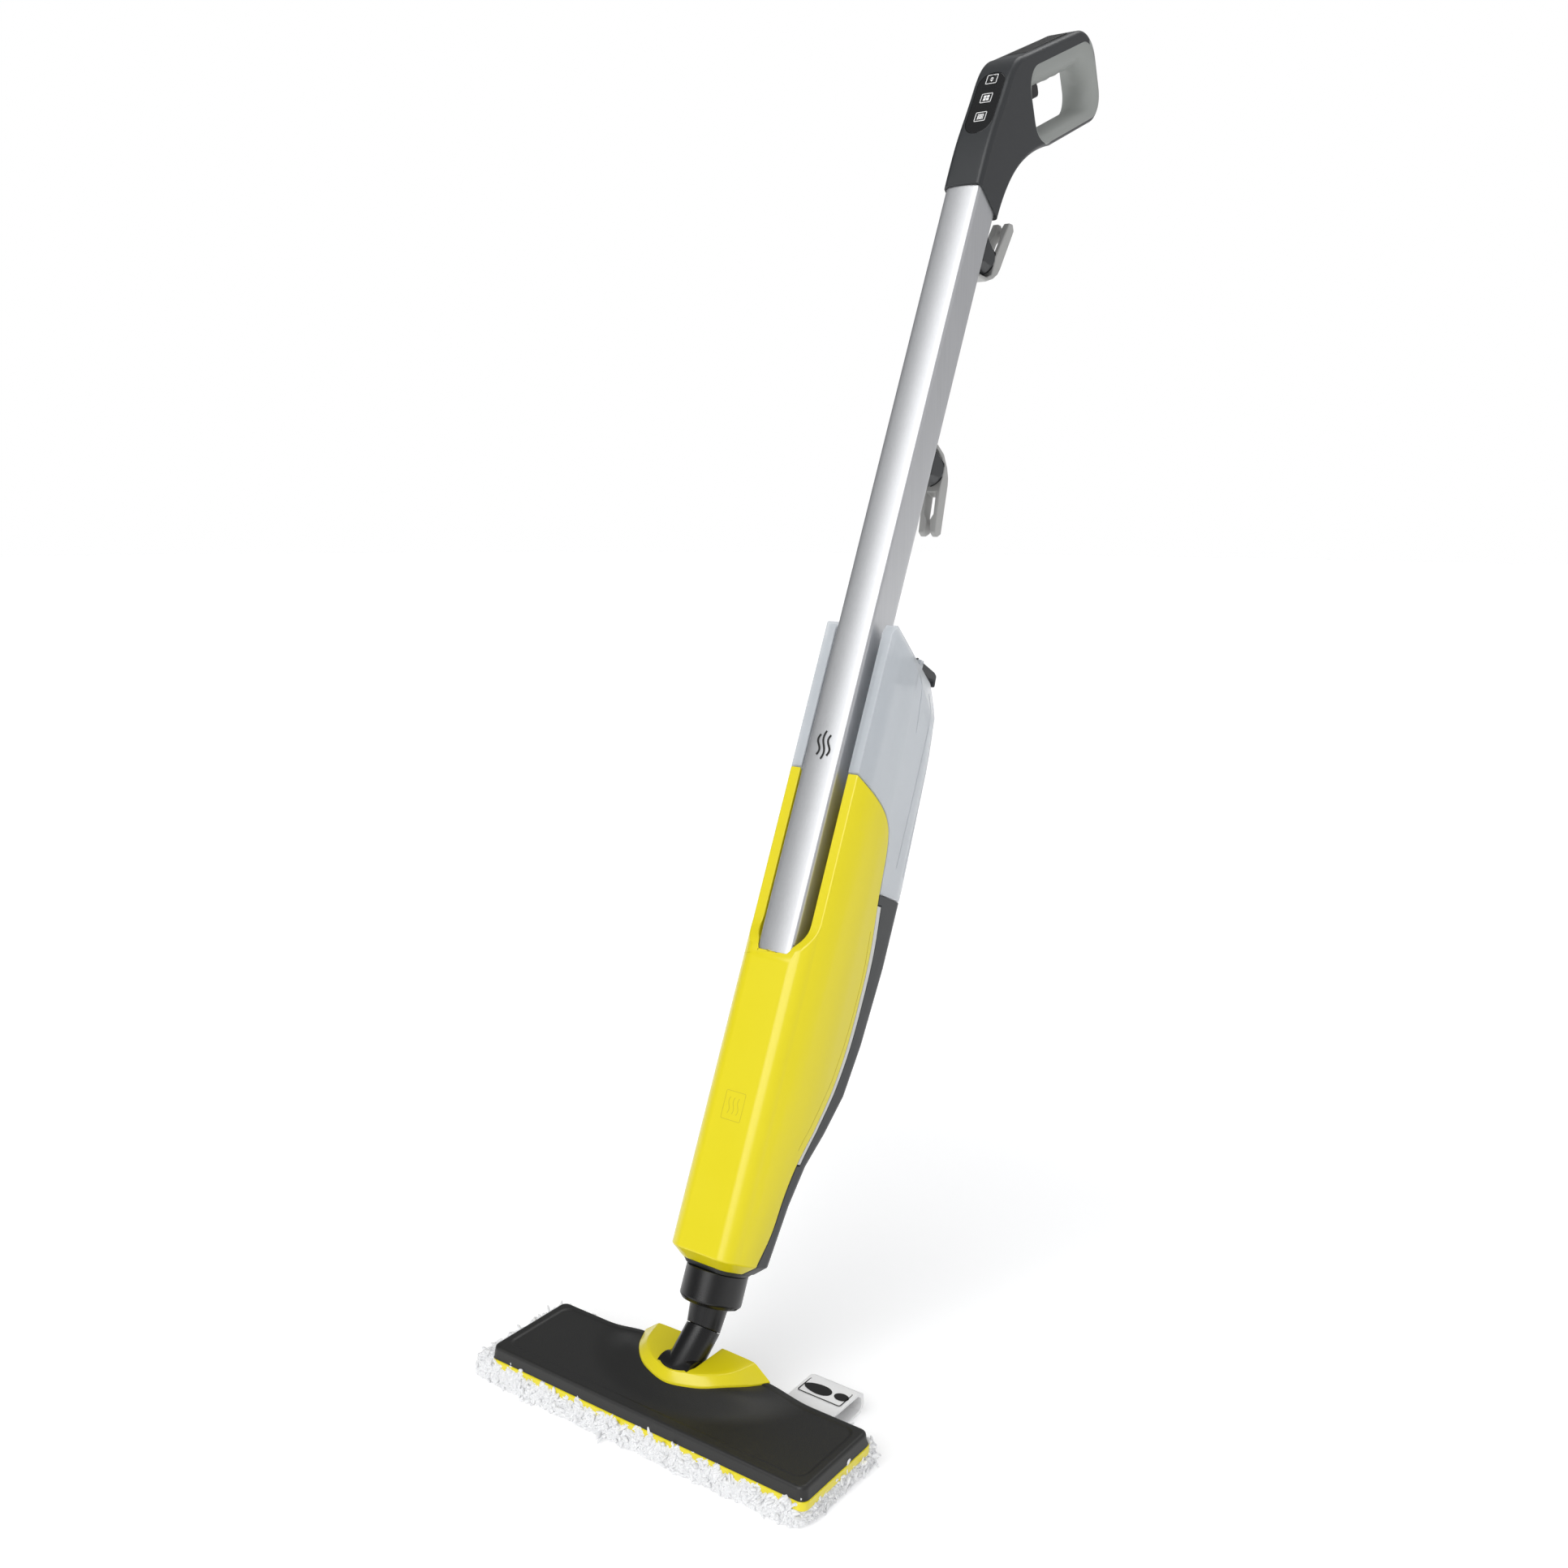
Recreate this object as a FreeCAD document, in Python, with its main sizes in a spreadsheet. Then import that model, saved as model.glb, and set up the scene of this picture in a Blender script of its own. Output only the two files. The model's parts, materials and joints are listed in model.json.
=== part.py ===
"""Upright steam mop with a hinged floor head, a removable water tank and a loop handle.

World frame: origin on the floor under the middle of the sole, +X along the head, +Z up, the mop's
front towards -Y. The body leans back about X. Its parts are drawn upright in the body's own frame,
where Y runs backwards from the tube and Z runs up along it, and BODY then leans them.
"""
import FreeCAD, Part
import math
import os

V = FreeCAD.Vector
X_AXIS, Y_AXIS, Z_AXIS = V(1, 0, 0), V(0, 1, 0), V(0, 0, 1)

SIZES = [
    ("lean_angle", 23.76, "lean of the body from upright, degrees"),
    ("body_back", 7.17, "body frame origin behind the middle of the sole"),
    ("body_up", 31.66, "body frame origin above the floor"),
    ("head_length", 283.2, "floor head along X, at its top edge"),
    ("head_depth", 78.0, "floor head along Y, at its top edge"),
    ("head_flare", 1.5, "how far the head's lower edge stands out"),
    ("plate_low", 14.5, "underside of the yellow base plate"),
    ("plate_high", 21.2, "top of the base plate, underside of the black shell"),
    ("head_high", 30.6, "flat top of the black shell"),
    ("hump_high", 39.5, "top of the hump round the neck"),
    ("saddle_high", 46.5, "top of the yellow saddle"),
    ("shell_wall", 2.4, "wall of the moulded shells"),
    ("cloth_length", 314.0, "floor cloth along X"),
    ("cloth_depth", 106.0, "floor cloth along Y"),
    ("cloth_left", -168.0, "left end of the cloth"),
    ("cloth_front", -46.5, "front edge of the cloth"),
    ("cloth_high", 11.0, "height of the cloth pad under the head"),
    ("pivot_back", 7.5, "tilt pin behind the middle of the sole"),
    ("pivot_up", 36.1, "tilt pin above the floor"),
    ("elbow_radius", 12.7, "outside of the lower elbow"),
    ("elbow_bore", 8.6, "steam passage through the elbows"),
    ("elbow_angle", 27.2, "bend between the two elbows, degrees"),
    ("seam_back", 15.3, "neck axis in the body frame"),
    ("seam_up", 36.6, "seam centre between the elbows along the body"),
    ("slot_half", 14.0, "half width of the neck's slot in the head"),
    ("sleeve_radius", 23.1, "outside of the coupling sleeve"),
    ("sleeve_low", 54.0, "lower end of the coupling sleeve"),
    ("sleeve_high", 78.9, "upper end of the coupling sleeve"),
    ("spigot_radius", 17.0, "spigot that the sleeve slides over"),
    ("body_front", -16.0, "front face of the yellow shell"),
    ("rim_front", -6.0, "rim of the tube channel"),
    ("rim_half", 30.2, "half width of the rim's outer crease"),
    ("channel_half", 21.5, "half width of the tube channel"),
    ("channel_floor", 24.5, "back of the tube channel"),
    ("channel_low", 311.0, "lowest point of the channel's round end"),
    ("tank_low", 372.8, "underside of the tank, top of the rear shell"),
    ("rail_high", 453.0, "top of the yellow rails beside the tube"),
    ("tank_high", 571.0, "highest point of the tank"),
    ("tube_width", 31.5, "handle tube along X"),
    ("tube_front", -14.7, "front face of the handle tube"),
    ("tube_rear", 21.0, "rear face of the handle tube"),
    ("tube_wall", 1.3, "wall of the handle tube"),
    ("tube_low", 286.0, "lower end of the tube, inside the body"),
    ("tube_high", 962.0, "upper end of the tube, inside the handle"),
    ("handle_low", 935.0, "lower edge of the handle"),
    ("handle_half", 17.1, "half width of the handle"),
    ("loop_angle", 46.58, "rise of the grip above the square to the tube, degrees"),
    ("hook_upper", 899.0, "upper cord hook's turning axis along the body"),
    ("hook_lower", 714.0, "lower cord hook's turning axis along the body"),
    ("gap", 0.35, "gap between pieces that move past each other"),
]

doc = FreeCAD.newDocument("steam_mop")
sheet = doc.addObject("Spreadsheet::Sheet", "sizes")
for row, (alias, value, note) in enumerate(SIZES, 1):
    sheet.set(f"A{row}", note)
    sheet.set(f"B{row}", str(value))
    sheet.setAlias(f"B{row}", alias)
doc.recompute()
size = {alias: float(sheet.get(alias)) for alias, _, _ in SIZES}

FLOOR = FreeCAD.Placement()
BODY = FreeCAD.Placement(
    V(0, size["body_back"], size["body_up"]), FreeCAD.Rotation(X_AXIS, -size["lean_angle"])
)
pieces = []


# ---------------------------------------------------------------- helpers
def piece(obj, name, placement=FLOOR):
    """Names one finished sub-part, puts it in its place and keeps it for export."""
    obj.Label = name
    obj.Placement = placement
    pieces.append(obj)
    return obj


def bind(obj, **expressions):
    for key, expression in expressions.items():
        obj.setExpression(key, expression)
    return obj


def feature(name, shape, placement=FLOOR):
    obj = doc.addObject("Part::Feature", "shape_" + name)
    obj.Shape = shape
    return piece(obj, name, placement.multiply(shape.Placement))


def cylinder(name, low, axis, radius, length):
    """A bound Part::Cylinder from the point low along axis; radius and length are expressions."""
    obj = doc.addObject("Part::Cylinder", name)
    obj.Placement = FreeCAD.Placement(low, FreeCAD.Rotation(Z_AXIS, axis))
    return bind(obj, Radius=radius, Height=length)


def box(name, corner, length, width, height):
    obj = doc.addObject("Part::Box", name)
    obj.Placement = FreeCAD.Placement(corner, FreeCAD.Rotation())
    return bind(obj, Length=length, Width=width, Height=height)


def cut(name, base, tool):
    obj = doc.addObject("Part::Cut", name)
    obj.Base, obj.Tool = base, tool
    return obj


def fuse(name, shapes):
    obj = doc.addObject("Part::MultiFuse", name)
    obj.Shapes = shapes
    return obj


def pad(name, role, edges, length, symmetric=False):
    """A PartDesign body with one sketch on an origin plane, padded by a bound length."""
    body = doc.addObject("PartDesign::Body", "body_" + name)
    sketch = body.newObject("Sketcher::SketchObject", "sketch_" + name)
    plane = next(o for o in body.Origin.OriginFeatures if o.Role == role)
    sketch.AttachmentSupport = [(plane, "")]
    sketch.MapMode = "FlatFace"
    sketch.addGeometry(edges, False)
    step = body.newObject("PartDesign::Pad", "pad_" + name)
    step.Profile = sketch
    step.SideType = "Symmetric" if symmetric else "One side"
    step.setExpression("Length", length)
    return body


def rounded(low, high, radius):
    """Sketch edges of a rectangle from low to high with round corners."""
    (ax, ay), (bx, by) = low, high
    corners = [(bx - radius, by - radius, 0), (ax + radius, by - radius, 90),
               (ax + radius, ay + radius, 180), (bx - radius, ay + radius, 270)]
    arcs = []
    for cx, cy, start in corners:
        circle = Part.Circle(V(cx, cy, 0), Z_AXIS, radius)
        arcs.append(Part.ArcOfCircle(circle, math.radians(start), math.radians(start + 90)))
    edges = []
    for arc, following in zip(arcs, arcs[1:] + arcs[:1]):
        edges += [arc, Part.LineSegment(arc.EndPoint, following.StartPoint)]
    return [edge for edge in edges if edge.length() > 1e-6]


def wire_of(edges):
    return Part.Wire(Part.__sortEdges__([edge.toShape() for edge in edges]))


def prism(points, depth, centre=0.0):
    """A straight-sided (y, z) outline extruded along X."""
    wire = Part.makePolygon([V(centre - depth / 2, *p) for p in points + points[:1]])
    return Part.Face(wire).extrude(V(depth, 0, 0))


def block(low, high):
    return Part.makeBox(*(b - a for a, b in zip(low, high)), V(*low))


def rod(start, end, radius):
    start, end = V(*start), V(*end)
    return Part.makeCylinder(radius, (end - start).Length, start, end - start)


def round_bar(points, radius):
    """A hose or wire of straight runs whose corners are ball-rounded."""
    bar = rod(points[0], points[1], radius)
    for start, end in zip(points[1:], points[2:]):
        bar = bar.fuse([Part.makeSphere(radius, V(*start)), rod(start, end, radius)])
    return bar.removeSplitter()


# ---------------------------------------------------------------- body shapes
# Height along the body, half width and rear face of the body's cross-section.
STATIONS = [(90, 36.5, 31.0), (135, 39.0, 35.5), (165, 41.0, 42.0), (190, 43.0, 54.0),
            (220, 44.0, 67.0), (260, 44.0, 75.0), (320, 44.0, 80.5), (385, 44.0, 81.0),
            (480, 43.5, 76.5), (530, 42.5, 70.5), (580, 41.5, 62.0)]
REAR_CORNER = 12.0
CHAMFER = (0.77, 0.72, 4.7)


def body_ring(height, half, rear, inset=0.0, squeeze=(1.0, 1.0, 0.0)):
    """Closed cross-section of the body: flat front, bevelled cheeks, straight sides, flat rear.

    squeeze scales it along X and Y and then shifts it along Y.
    """
    across, deep, shift = squeeze
    front = size["body_front"] + inset
    flat, rim, rim_y = 16.0 - inset / 2, size["rim_half"] - inset, size["rim_front"] + inset * 0.6
    half, rear = half - inset, rear - inset
    cheek = rim_y + (half - rim) * 2.75
    corner = REAR_CORNER - inset / 2
    tuck = corner * (1 - math.sqrt(0.5))

    def at(x, y):
        return V(x * across, y * deep + shift, height)

    def sides(way):
        yield Part.Arc(at(way * flat, front), at(way * (rim - 5.7), front + 3.2), at(way * rim, rim_y))
        middle = at(way * (rim + (half - rim) * 0.62), rim_y + (cheek - rim_y) * 0.38)
        yield Part.Arc(at(way * rim, rim_y), middle, at(way * half, cheek))
        turn_in, turn_mid = at(way * half, rear - corner), at(way * (half - tuck), rear - tuck)
        yield Part.LineSegment(at(way * half, cheek), turn_in)
        yield Part.Arc(turn_in, turn_mid, at(way * (half - corner), rear))

    ends = [Part.LineSegment(at(-flat, front), at(flat, front)),
            Part.LineSegment(at(half - corner, rear), at(corner - half, rear))]
    return wire_of(ends + list(sides(1)) + list(sides(-1)))


def body_solid(inset=0.0):
    """The whole body's outline from its lower chamfer to above the tank."""
    rings = [body_ring(*station, inset) for station in STATIONS]
    upper = Part.makeLoft(rings, True, True)
    chamfer_low = body_ring(82.5, *STATIONS[0][1:], inset, CHAMFER)
    return upper.fuse(Part.makeLoft([chamfer_low, rings[0]], True, True)).removeSplitter()


# Side line between the yellow shell and what lies behind it, from the bottom up.
BORDER = [(6, 70), (9, 92), (15, 112), (17.5, 138), (22, 165), (34, 200), (46, 245), (49.5, 290),
          (48.5, 330), (42.5, 368), (39, 400), (32, 423), (20, 435), (5, 445), (-6.5, 453)]


def behind_border(shift=0.0, low=60.0, high=640.0):
    """Everything behind the border line, moved back and up by shift, between two heights."""
    points = [V(0, y + shift, z + shift * 0.7) for y, z in BORDER]
    curve = Part.BSplineCurve()
    curve.interpolate(points)
    top, bottom = points[-1], points[0]
    corners = [top, V(0, top.y - 30, top.z), V(0, top.y - 30, 700), V(0, 160, 700), V(0, 160, bottom.z)]
    corners.append(bottom)
    edges = [curve.toShape()] + [Part.LineSegment(a, b).toShape() for a, b in zip(corners, corners[1:])]
    face = Part.Face(Part.Wire(Part.__sortEdges__(edges)))
    face.translate(V(-70, 0, 0))
    return face.extrude(V(140, 0, 0)).common(block((-70, -60, low), (70, 160, high)))


def front_cut(inset=0.0):
    """The space in front of the rim plane and of the curved lip below it."""
    rim, front = size["rim_front"] + inset, size["body_front"] + inset
    slope = [(front, 300), (front + 0.8, 310.5), (front + 3.0, 318), (front + 6.4, 325), (rim - 0.8, 332),
             (rim, 338)]
    curve = Part.BSplineCurve()
    curve.interpolate([V(y, z - inset, 0) for y, z in slope])
    low = 300 - inset
    corners = [V(rim, 338 - inset, 0), V(rim, 640, 0), V(-60, 640, 0), V(-60, low, 0), V(front, low, 0)]
    return profile_yz([curve] + [Part.LineSegment(a, b) for a, b in zip(corners, corners[1:])], 70)


def channel(grow=0.0):
    """The U channel that the tube lies in: round lower end, open at the top and front."""
    half = size["channel_half"] + grow
    centre = size["channel_low"] + size["channel_half"]
    depth = size["channel_floor"] + grow + 40
    start = V(0, -40, centre)
    return Part.makeCylinder(half, depth, start, Y_AXIS).fuse(
        block((-half, -40, centre), (half, depth - 40, 640))).removeSplitter()


def tube_section(grow=0.0):
    """Sketch edges of the handle tube's section: small front corners, larger rear corners."""
    half = size["tube_width"] / 2 + grow
    front, rear = size["tube_front"] - grow, size["tube_rear"] + grow
    small, large = 4.0 + grow, 8.0 + grow
    turns = [(half - large, rear - large, large, 0), (large - half, rear - large, large, 90),
             (small - half, front + small, small, 180), (half - small, front + small, small, 270)]
    arcs = [Part.ArcOfCircle(Part.Circle(V(cx, cy, 0), Z_AXIS, radius), math.radians(start),
                             math.radians(start + 90)) for cx, cy, radius, start in turns]
    lines = [Part.LineSegment(a.EndPoint, b.StartPoint) for a, b in zip(arcs, arcs[1:] + arcs[:1])]
    return arcs + lines


def tube_solid(low, high, grow=0.0):
    face = Part.Face(wire_of(tube_section(grow)))
    face.translate(V(0, 0, low))
    return face.extrude(V(0, 0, high - low))


# ---------------------------------------------------------------- floor head
def half_to_plan(half_points):
    """Mirrors a half outline, listed from the front middle to the rear, into a closed plan."""
    return half_points + [(-x, y) for x, y in reversed(half_points) if x]


def head_slot(low=22.0, grow=0.0):
    """The neck's slot: round in front, open to the rear."""
    half = size["slot_half"] + grow
    centre = size["pivot_back"] + 3.2
    return Part.makeCylinder(half, 60, V(0, centre, low)).fuse(
        block((-half, centre, low), (half, 60, low + 60))).removeSplitter()


SADDLE_FOOT = [(0, -8), (20, -3.5), (36, 6), (49, 21), (58, 38)]
SADDLE_TOP = [(0, -5.5), (16, -1.5), (29, 6), (40, 20), (45.5, 38)]


def floor_head():
    length, depth = size["head_length"], size["head_depth"]
    low, high = size["plate_high"], size["head_high"]
    foot = length + 2 * size["head_flare"], depth + 2 * size["head_flare"]

    def slab(extent_x, extent_y, height, radius=6.0):
        wire = wire_of(rounded((-extent_x / 2, -extent_y / 2), (extent_x / 2, extent_y / 2), radius))
        wire.translate(V(0, 0, height))
        return wire

    shell = Part.makeLoft([slab(*foot, low + 0.1), slab(length, depth, high - 2.0),
                           slab(length - 4, depth - 4, high)], True, True)
    hump_low = [(0, -32), (45, -29), (66, -10), (78, 37)]
    hump_top = [(0, -10), (22, -5), (39, 5), (61, 37)]
    hump = Part.makeLoft([Part.makePolygon([V(*p, z) for p in half_to_plan(o) + half_to_plan(o)[:1]])
                          for o, z in ((hump_low, high - 0.4), (hump_top, size["hump_high"]))], True, True)
    hollow = block((-137, -35.5, 0), (137, 35.5, high - 2.6))
    cheeks = block((-24, -14, low + 0.1), (24, 30, high))
    spots = [(x, y) for x in (-118, 118) for y in (-26, 26)]
    bosses = [Part.makeCylinder(4.0, high - low - 1, V(*spot, low + 0.1)) for spot in spots]
    body = shell.fuse(hump).cut(hollow).fuse([cheeks] + bosses).cut(head_slot()).cut(top_recess(high))
    body = body.cut(pin_space()).cut([Part.makeCylinder(1.5, 8.0, V(*spot, low)) for spot in spots])
    feature("nozzle_top_shell", body)

    saddle = Part.makeLoft([Part.makePolygon([V(*p, z) for p in half_to_plan(o) + half_to_plan(o)[:1]])
                            for o, z in ((SADDLE_FOOT, 34.0), (SADDLE_TOP, size["saddle_high"]))], True, True)
    feature("saddle_cover", saddle.cut(body).cut(hump).cut(head_slot(20, 0.1)).cut(pin_space())
            .cut(block((-90, -60, 0), (90, 60, 35.0))))

    outline = rounded((-foot[0] / 2, -foot[1] / 2), (foot[0] / 2, foot[1] / 2), 6)
    plate = pad("plate_blank", "XY_Plane", outline, "sizes.plate_high - sizes.plate_low")
    holes = []
    for number, (x, y) in enumerate(spots):
        holes.append(cylinder(f"plate_sink_{number}", V(x, y, -0.1), Z_AXIS, "3.1", "2.4"))
        holes.append(cylinder(f"plate_hole_{number}", V(x, y, 0), Z_AXIS, "1.6", "20"))
    drilled = cut("plate_drilled", plate, fuse("plate_holes", holes))
    piece(drilled, "nozzle_base_plate", FreeCAD.Placement(V(0, 0, size["plate_low"]), FreeCAD.Rotation()))

    sole = block((-124.2, -30, size["cloth_high"] + 0.2), (124.2, 30, size["plate_low"] - 0.02))
    grooves = [block((x - 0.7, -31, 0), (x + 0.7, 31, size["plate_low"] - 1.2)) for x in range(-120, 121, 8)]
    feature("lamella_sole", sole.cut(Part.makeCompound(grooves)))
    under, over = size["cloth_high"] + 0.2, size["plate_low"] - 0.02
    strips = [block((middle - 7, -31, under), (middle + 7, 31, over)) for middle in (-131.5, 131.5)]
    feature("grip_strips", Part.makeCompound(strips))

    spread = block((-96, -10, size["plate_high"] + 0.02), (96, 12, high - 3.0)).cut(cheeks.copy())
    feature("steam_spreader", spread.cut(block((-26, -60, 0), (26, 60, 60))))
    start = size["plate_low"] + 0.3
    screws = [Part.makeCylinder(3.0, 2.0, V(*spot, start)).fuse(
        Part.makeCylinder(1.5, 13.5, V(*spot, start))).removeSplitter() for spot in spots]
    feature("head_screws", Part.makeCompound(screws))

    pin = cylinder("tilt_pin_rod", V(-21.8, size["pivot_back"], size["pivot_up"]), X_AXIS, "3", "43.6")
    piece(pin, "tilt_pin", pin.Placement)


def pin_space():
    """Bore of the tilt pin's seats in the cheeks, and the room for the elbow's barrel."""
    at = size["pivot_back"], size["pivot_up"]
    seat = rod((-22, *at), (22, *at), 3.02)
    barrel = rod((-size["slot_half"], *at), (size["slot_half"], *at), size["elbow_radius"] + 0.5)
    return seat.fuse(barrel)


def top_recess(high):
    """The shallow recess in the head's top, left of and right of the hump."""
    sunk = [block((left, -29.5, high - 0.5), (left + 53, 33.5, high + 5)) for left in (-134, 81)]
    return Part.makeCompound(sunk)


def cloth():
    left, front = size["cloth_left"], size["cloth_front"]
    right, rear = left + size["cloth_length"], front + size["cloth_depth"]
    under = box("cloth_pad", V(left, front, 0), "sizes.cloth_length", "sizes.cloth_depth", "sizes.cloth_high")
    piece(under, "floor_cloth", under.Placement)
    ring_low, ring_high = size["cloth_high"] + 0.2, 17.5
    inside = (size["head_length"] / 2 + 2.4, size["head_depth"] / 2 + 2.4)
    rim = block((left, front, ring_low), (right, rear, ring_high))
    feature("cloth_pile_edge", rim.cut(block((-inside[0], -inside[1], 0), (inside[0], inside[1], 40))))
    strap = prism([(43.0, 19.6), (60, 19.6), (84, 20.5), (90, 17), (91, 9), (87, 3.5), (62, 2.5), (62, 5.0),
                   (85, 6.0), (88, 9.5), (87, 15), (83, 17.9), (60, 17.7), (43.0, 17.7)], 42, 83)
    feature("cloth_tab", strap)


# ---------------------------------------------------------------- neck
def seam_half_space(upper):
    """A big block above or below the seam plane, which halves the bend."""
    centre = V(0, size["seam_back"], size["seam_up"])
    slab = block((-60, centre.y - 60, centre.z), (60, centre.y + 60, centre.z + 90))
    if not upper:
        slab = block((-60, centre.y - 60, centre.z - 90), (60, centre.y + 60, centre.z - size["gap"]))
    slab.rotate(centre, X_AXIS, -size["elbow_angle"] / 2)
    return slab


def seam_ring(grow):
    """Seal ring square to the seam, half in each elbow; grow loosens it radially and endways."""
    ring = Part.makeCylinder(10.6 + grow, 4.6 + 2 * grow, V(0, 0, -2.6 - grow)).cut(
        Part.makeCylinder(9.4 - grow, 8, V(0, 0, -4)))
    turn = FreeCAD.Rotation(X_AXIS, -size["elbow_angle"] / 2)
    ring.Placement = FreeCAD.Placement(V(0, size["seam_back"], size["seam_up"]), turn)
    return ring


def neck():
    axis_y, seam = size["seam_back"], size["seam_up"]
    outer, bore = size["elbow_radius"], size["elbow_bore"]
    top = size["sleeve_low"] + 4.0
    upper = Part.makeCone(outer, 14.6, top - seam, V(0, axis_y, seam)).fuse(
        Part.makeCylinder(outer, 14, V(0, axis_y, seam - 14)))
    upper = upper.common(seam_half_space(True))
    upper = upper.fuse(Part.makeCylinder(size["spigot_radius"] - 0.4, 4.0, V(0, axis_y, top - 2.0)))
    upper = upper.cut(Part.makeCylinder(bore, 60, V(0, axis_y, seam - 20))).cut(seam_ring(0.05))
    feature("neck_upper_elbow", upper, BODY)

    pivot = BODY.inverse().multVec(V(0, size["pivot_back"], size["pivot_up"]))
    centre = V(0, axis_y, seam)
    reach = (pivot - centre).Length
    arm = Part.makeCylinder(outer, reach + 14, centre - (pivot - centre).normalize() * 14, pivot - centre)
    reach_x = size["slot_half"] - 0.4
    barrel = rod((-reach_x, pivot.y, pivot.z), (reach_x, pivot.y, pivot.z), outer)
    lower = arm.common(seam_half_space(False)).fuse(barrel)
    lower = lower.cut(Part.makeCylinder(3.05, 60, V(-30, pivot.y, pivot.z), X_AXIS))
    stop = centre + (pivot - centre).normalize() * (reach - 8)
    lower = lower.cut(Part.makeCylinder(bore, (stop - centre).Length + 14, stop, centre - stop))
    feature("neck_lower_elbow", lower.cut(seam_ring(0.03)), BODY)
    feature("swivel_ring", seam_ring(0.0), BODY)


def coupling():
    axis_y = size["seam_back"]
    low, high, radius = size["sleeve_low"], size["sleeve_high"], size["sleeve_radius"]
    sleeve = Part.makeCylinder(radius, high - low - 3, V(0, axis_y, low + 3)).fuse(
        Part.makeCone(radius - 2.6, radius, 3, V(0, axis_y, low)))
    sleeve = sleeve.cut(Part.makeCylinder(size["spigot_radius"] + 0.3, 60, V(0, axis_y, low + 6.02)))
    sleeve = sleeve.cut(Part.makeCylinder(14.7, 60, V(0, axis_y, low - 30)))
    notches = [block((x - 3, axis_y - 4, low - 1), (x + 3, axis_y + 4, low + 2.4)) for x in (-radius, radius)]
    window = block((-6.4, axis_y + 14, 60.6), (6.4, axis_y + 30, 73.4))
    sleeve = sleeve.cut(Part.makeCompound(notches)).cut(window).cut(
        Part.makeCylinder(size["spigot_radius"] - 0.3, 4.2, V(0, axis_y, low + 1.9)))
    feature("coupling_sleeve", sleeve, BODY)

    button = block((-6, axis_y + 18.95, 61), (6, axis_y + 25.2, 73)).common(
        Part.makeCylinder(25.2, 30, V(0, axis_y, 55)))
    feature("release_button", button, BODY)
    ring = Part.makeTorus(size["spigot_radius"] - 0.7, 0.9, V(0, axis_y, 66), Z_AXIS)
    feature("coupling_seal", ring, BODY)


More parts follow.
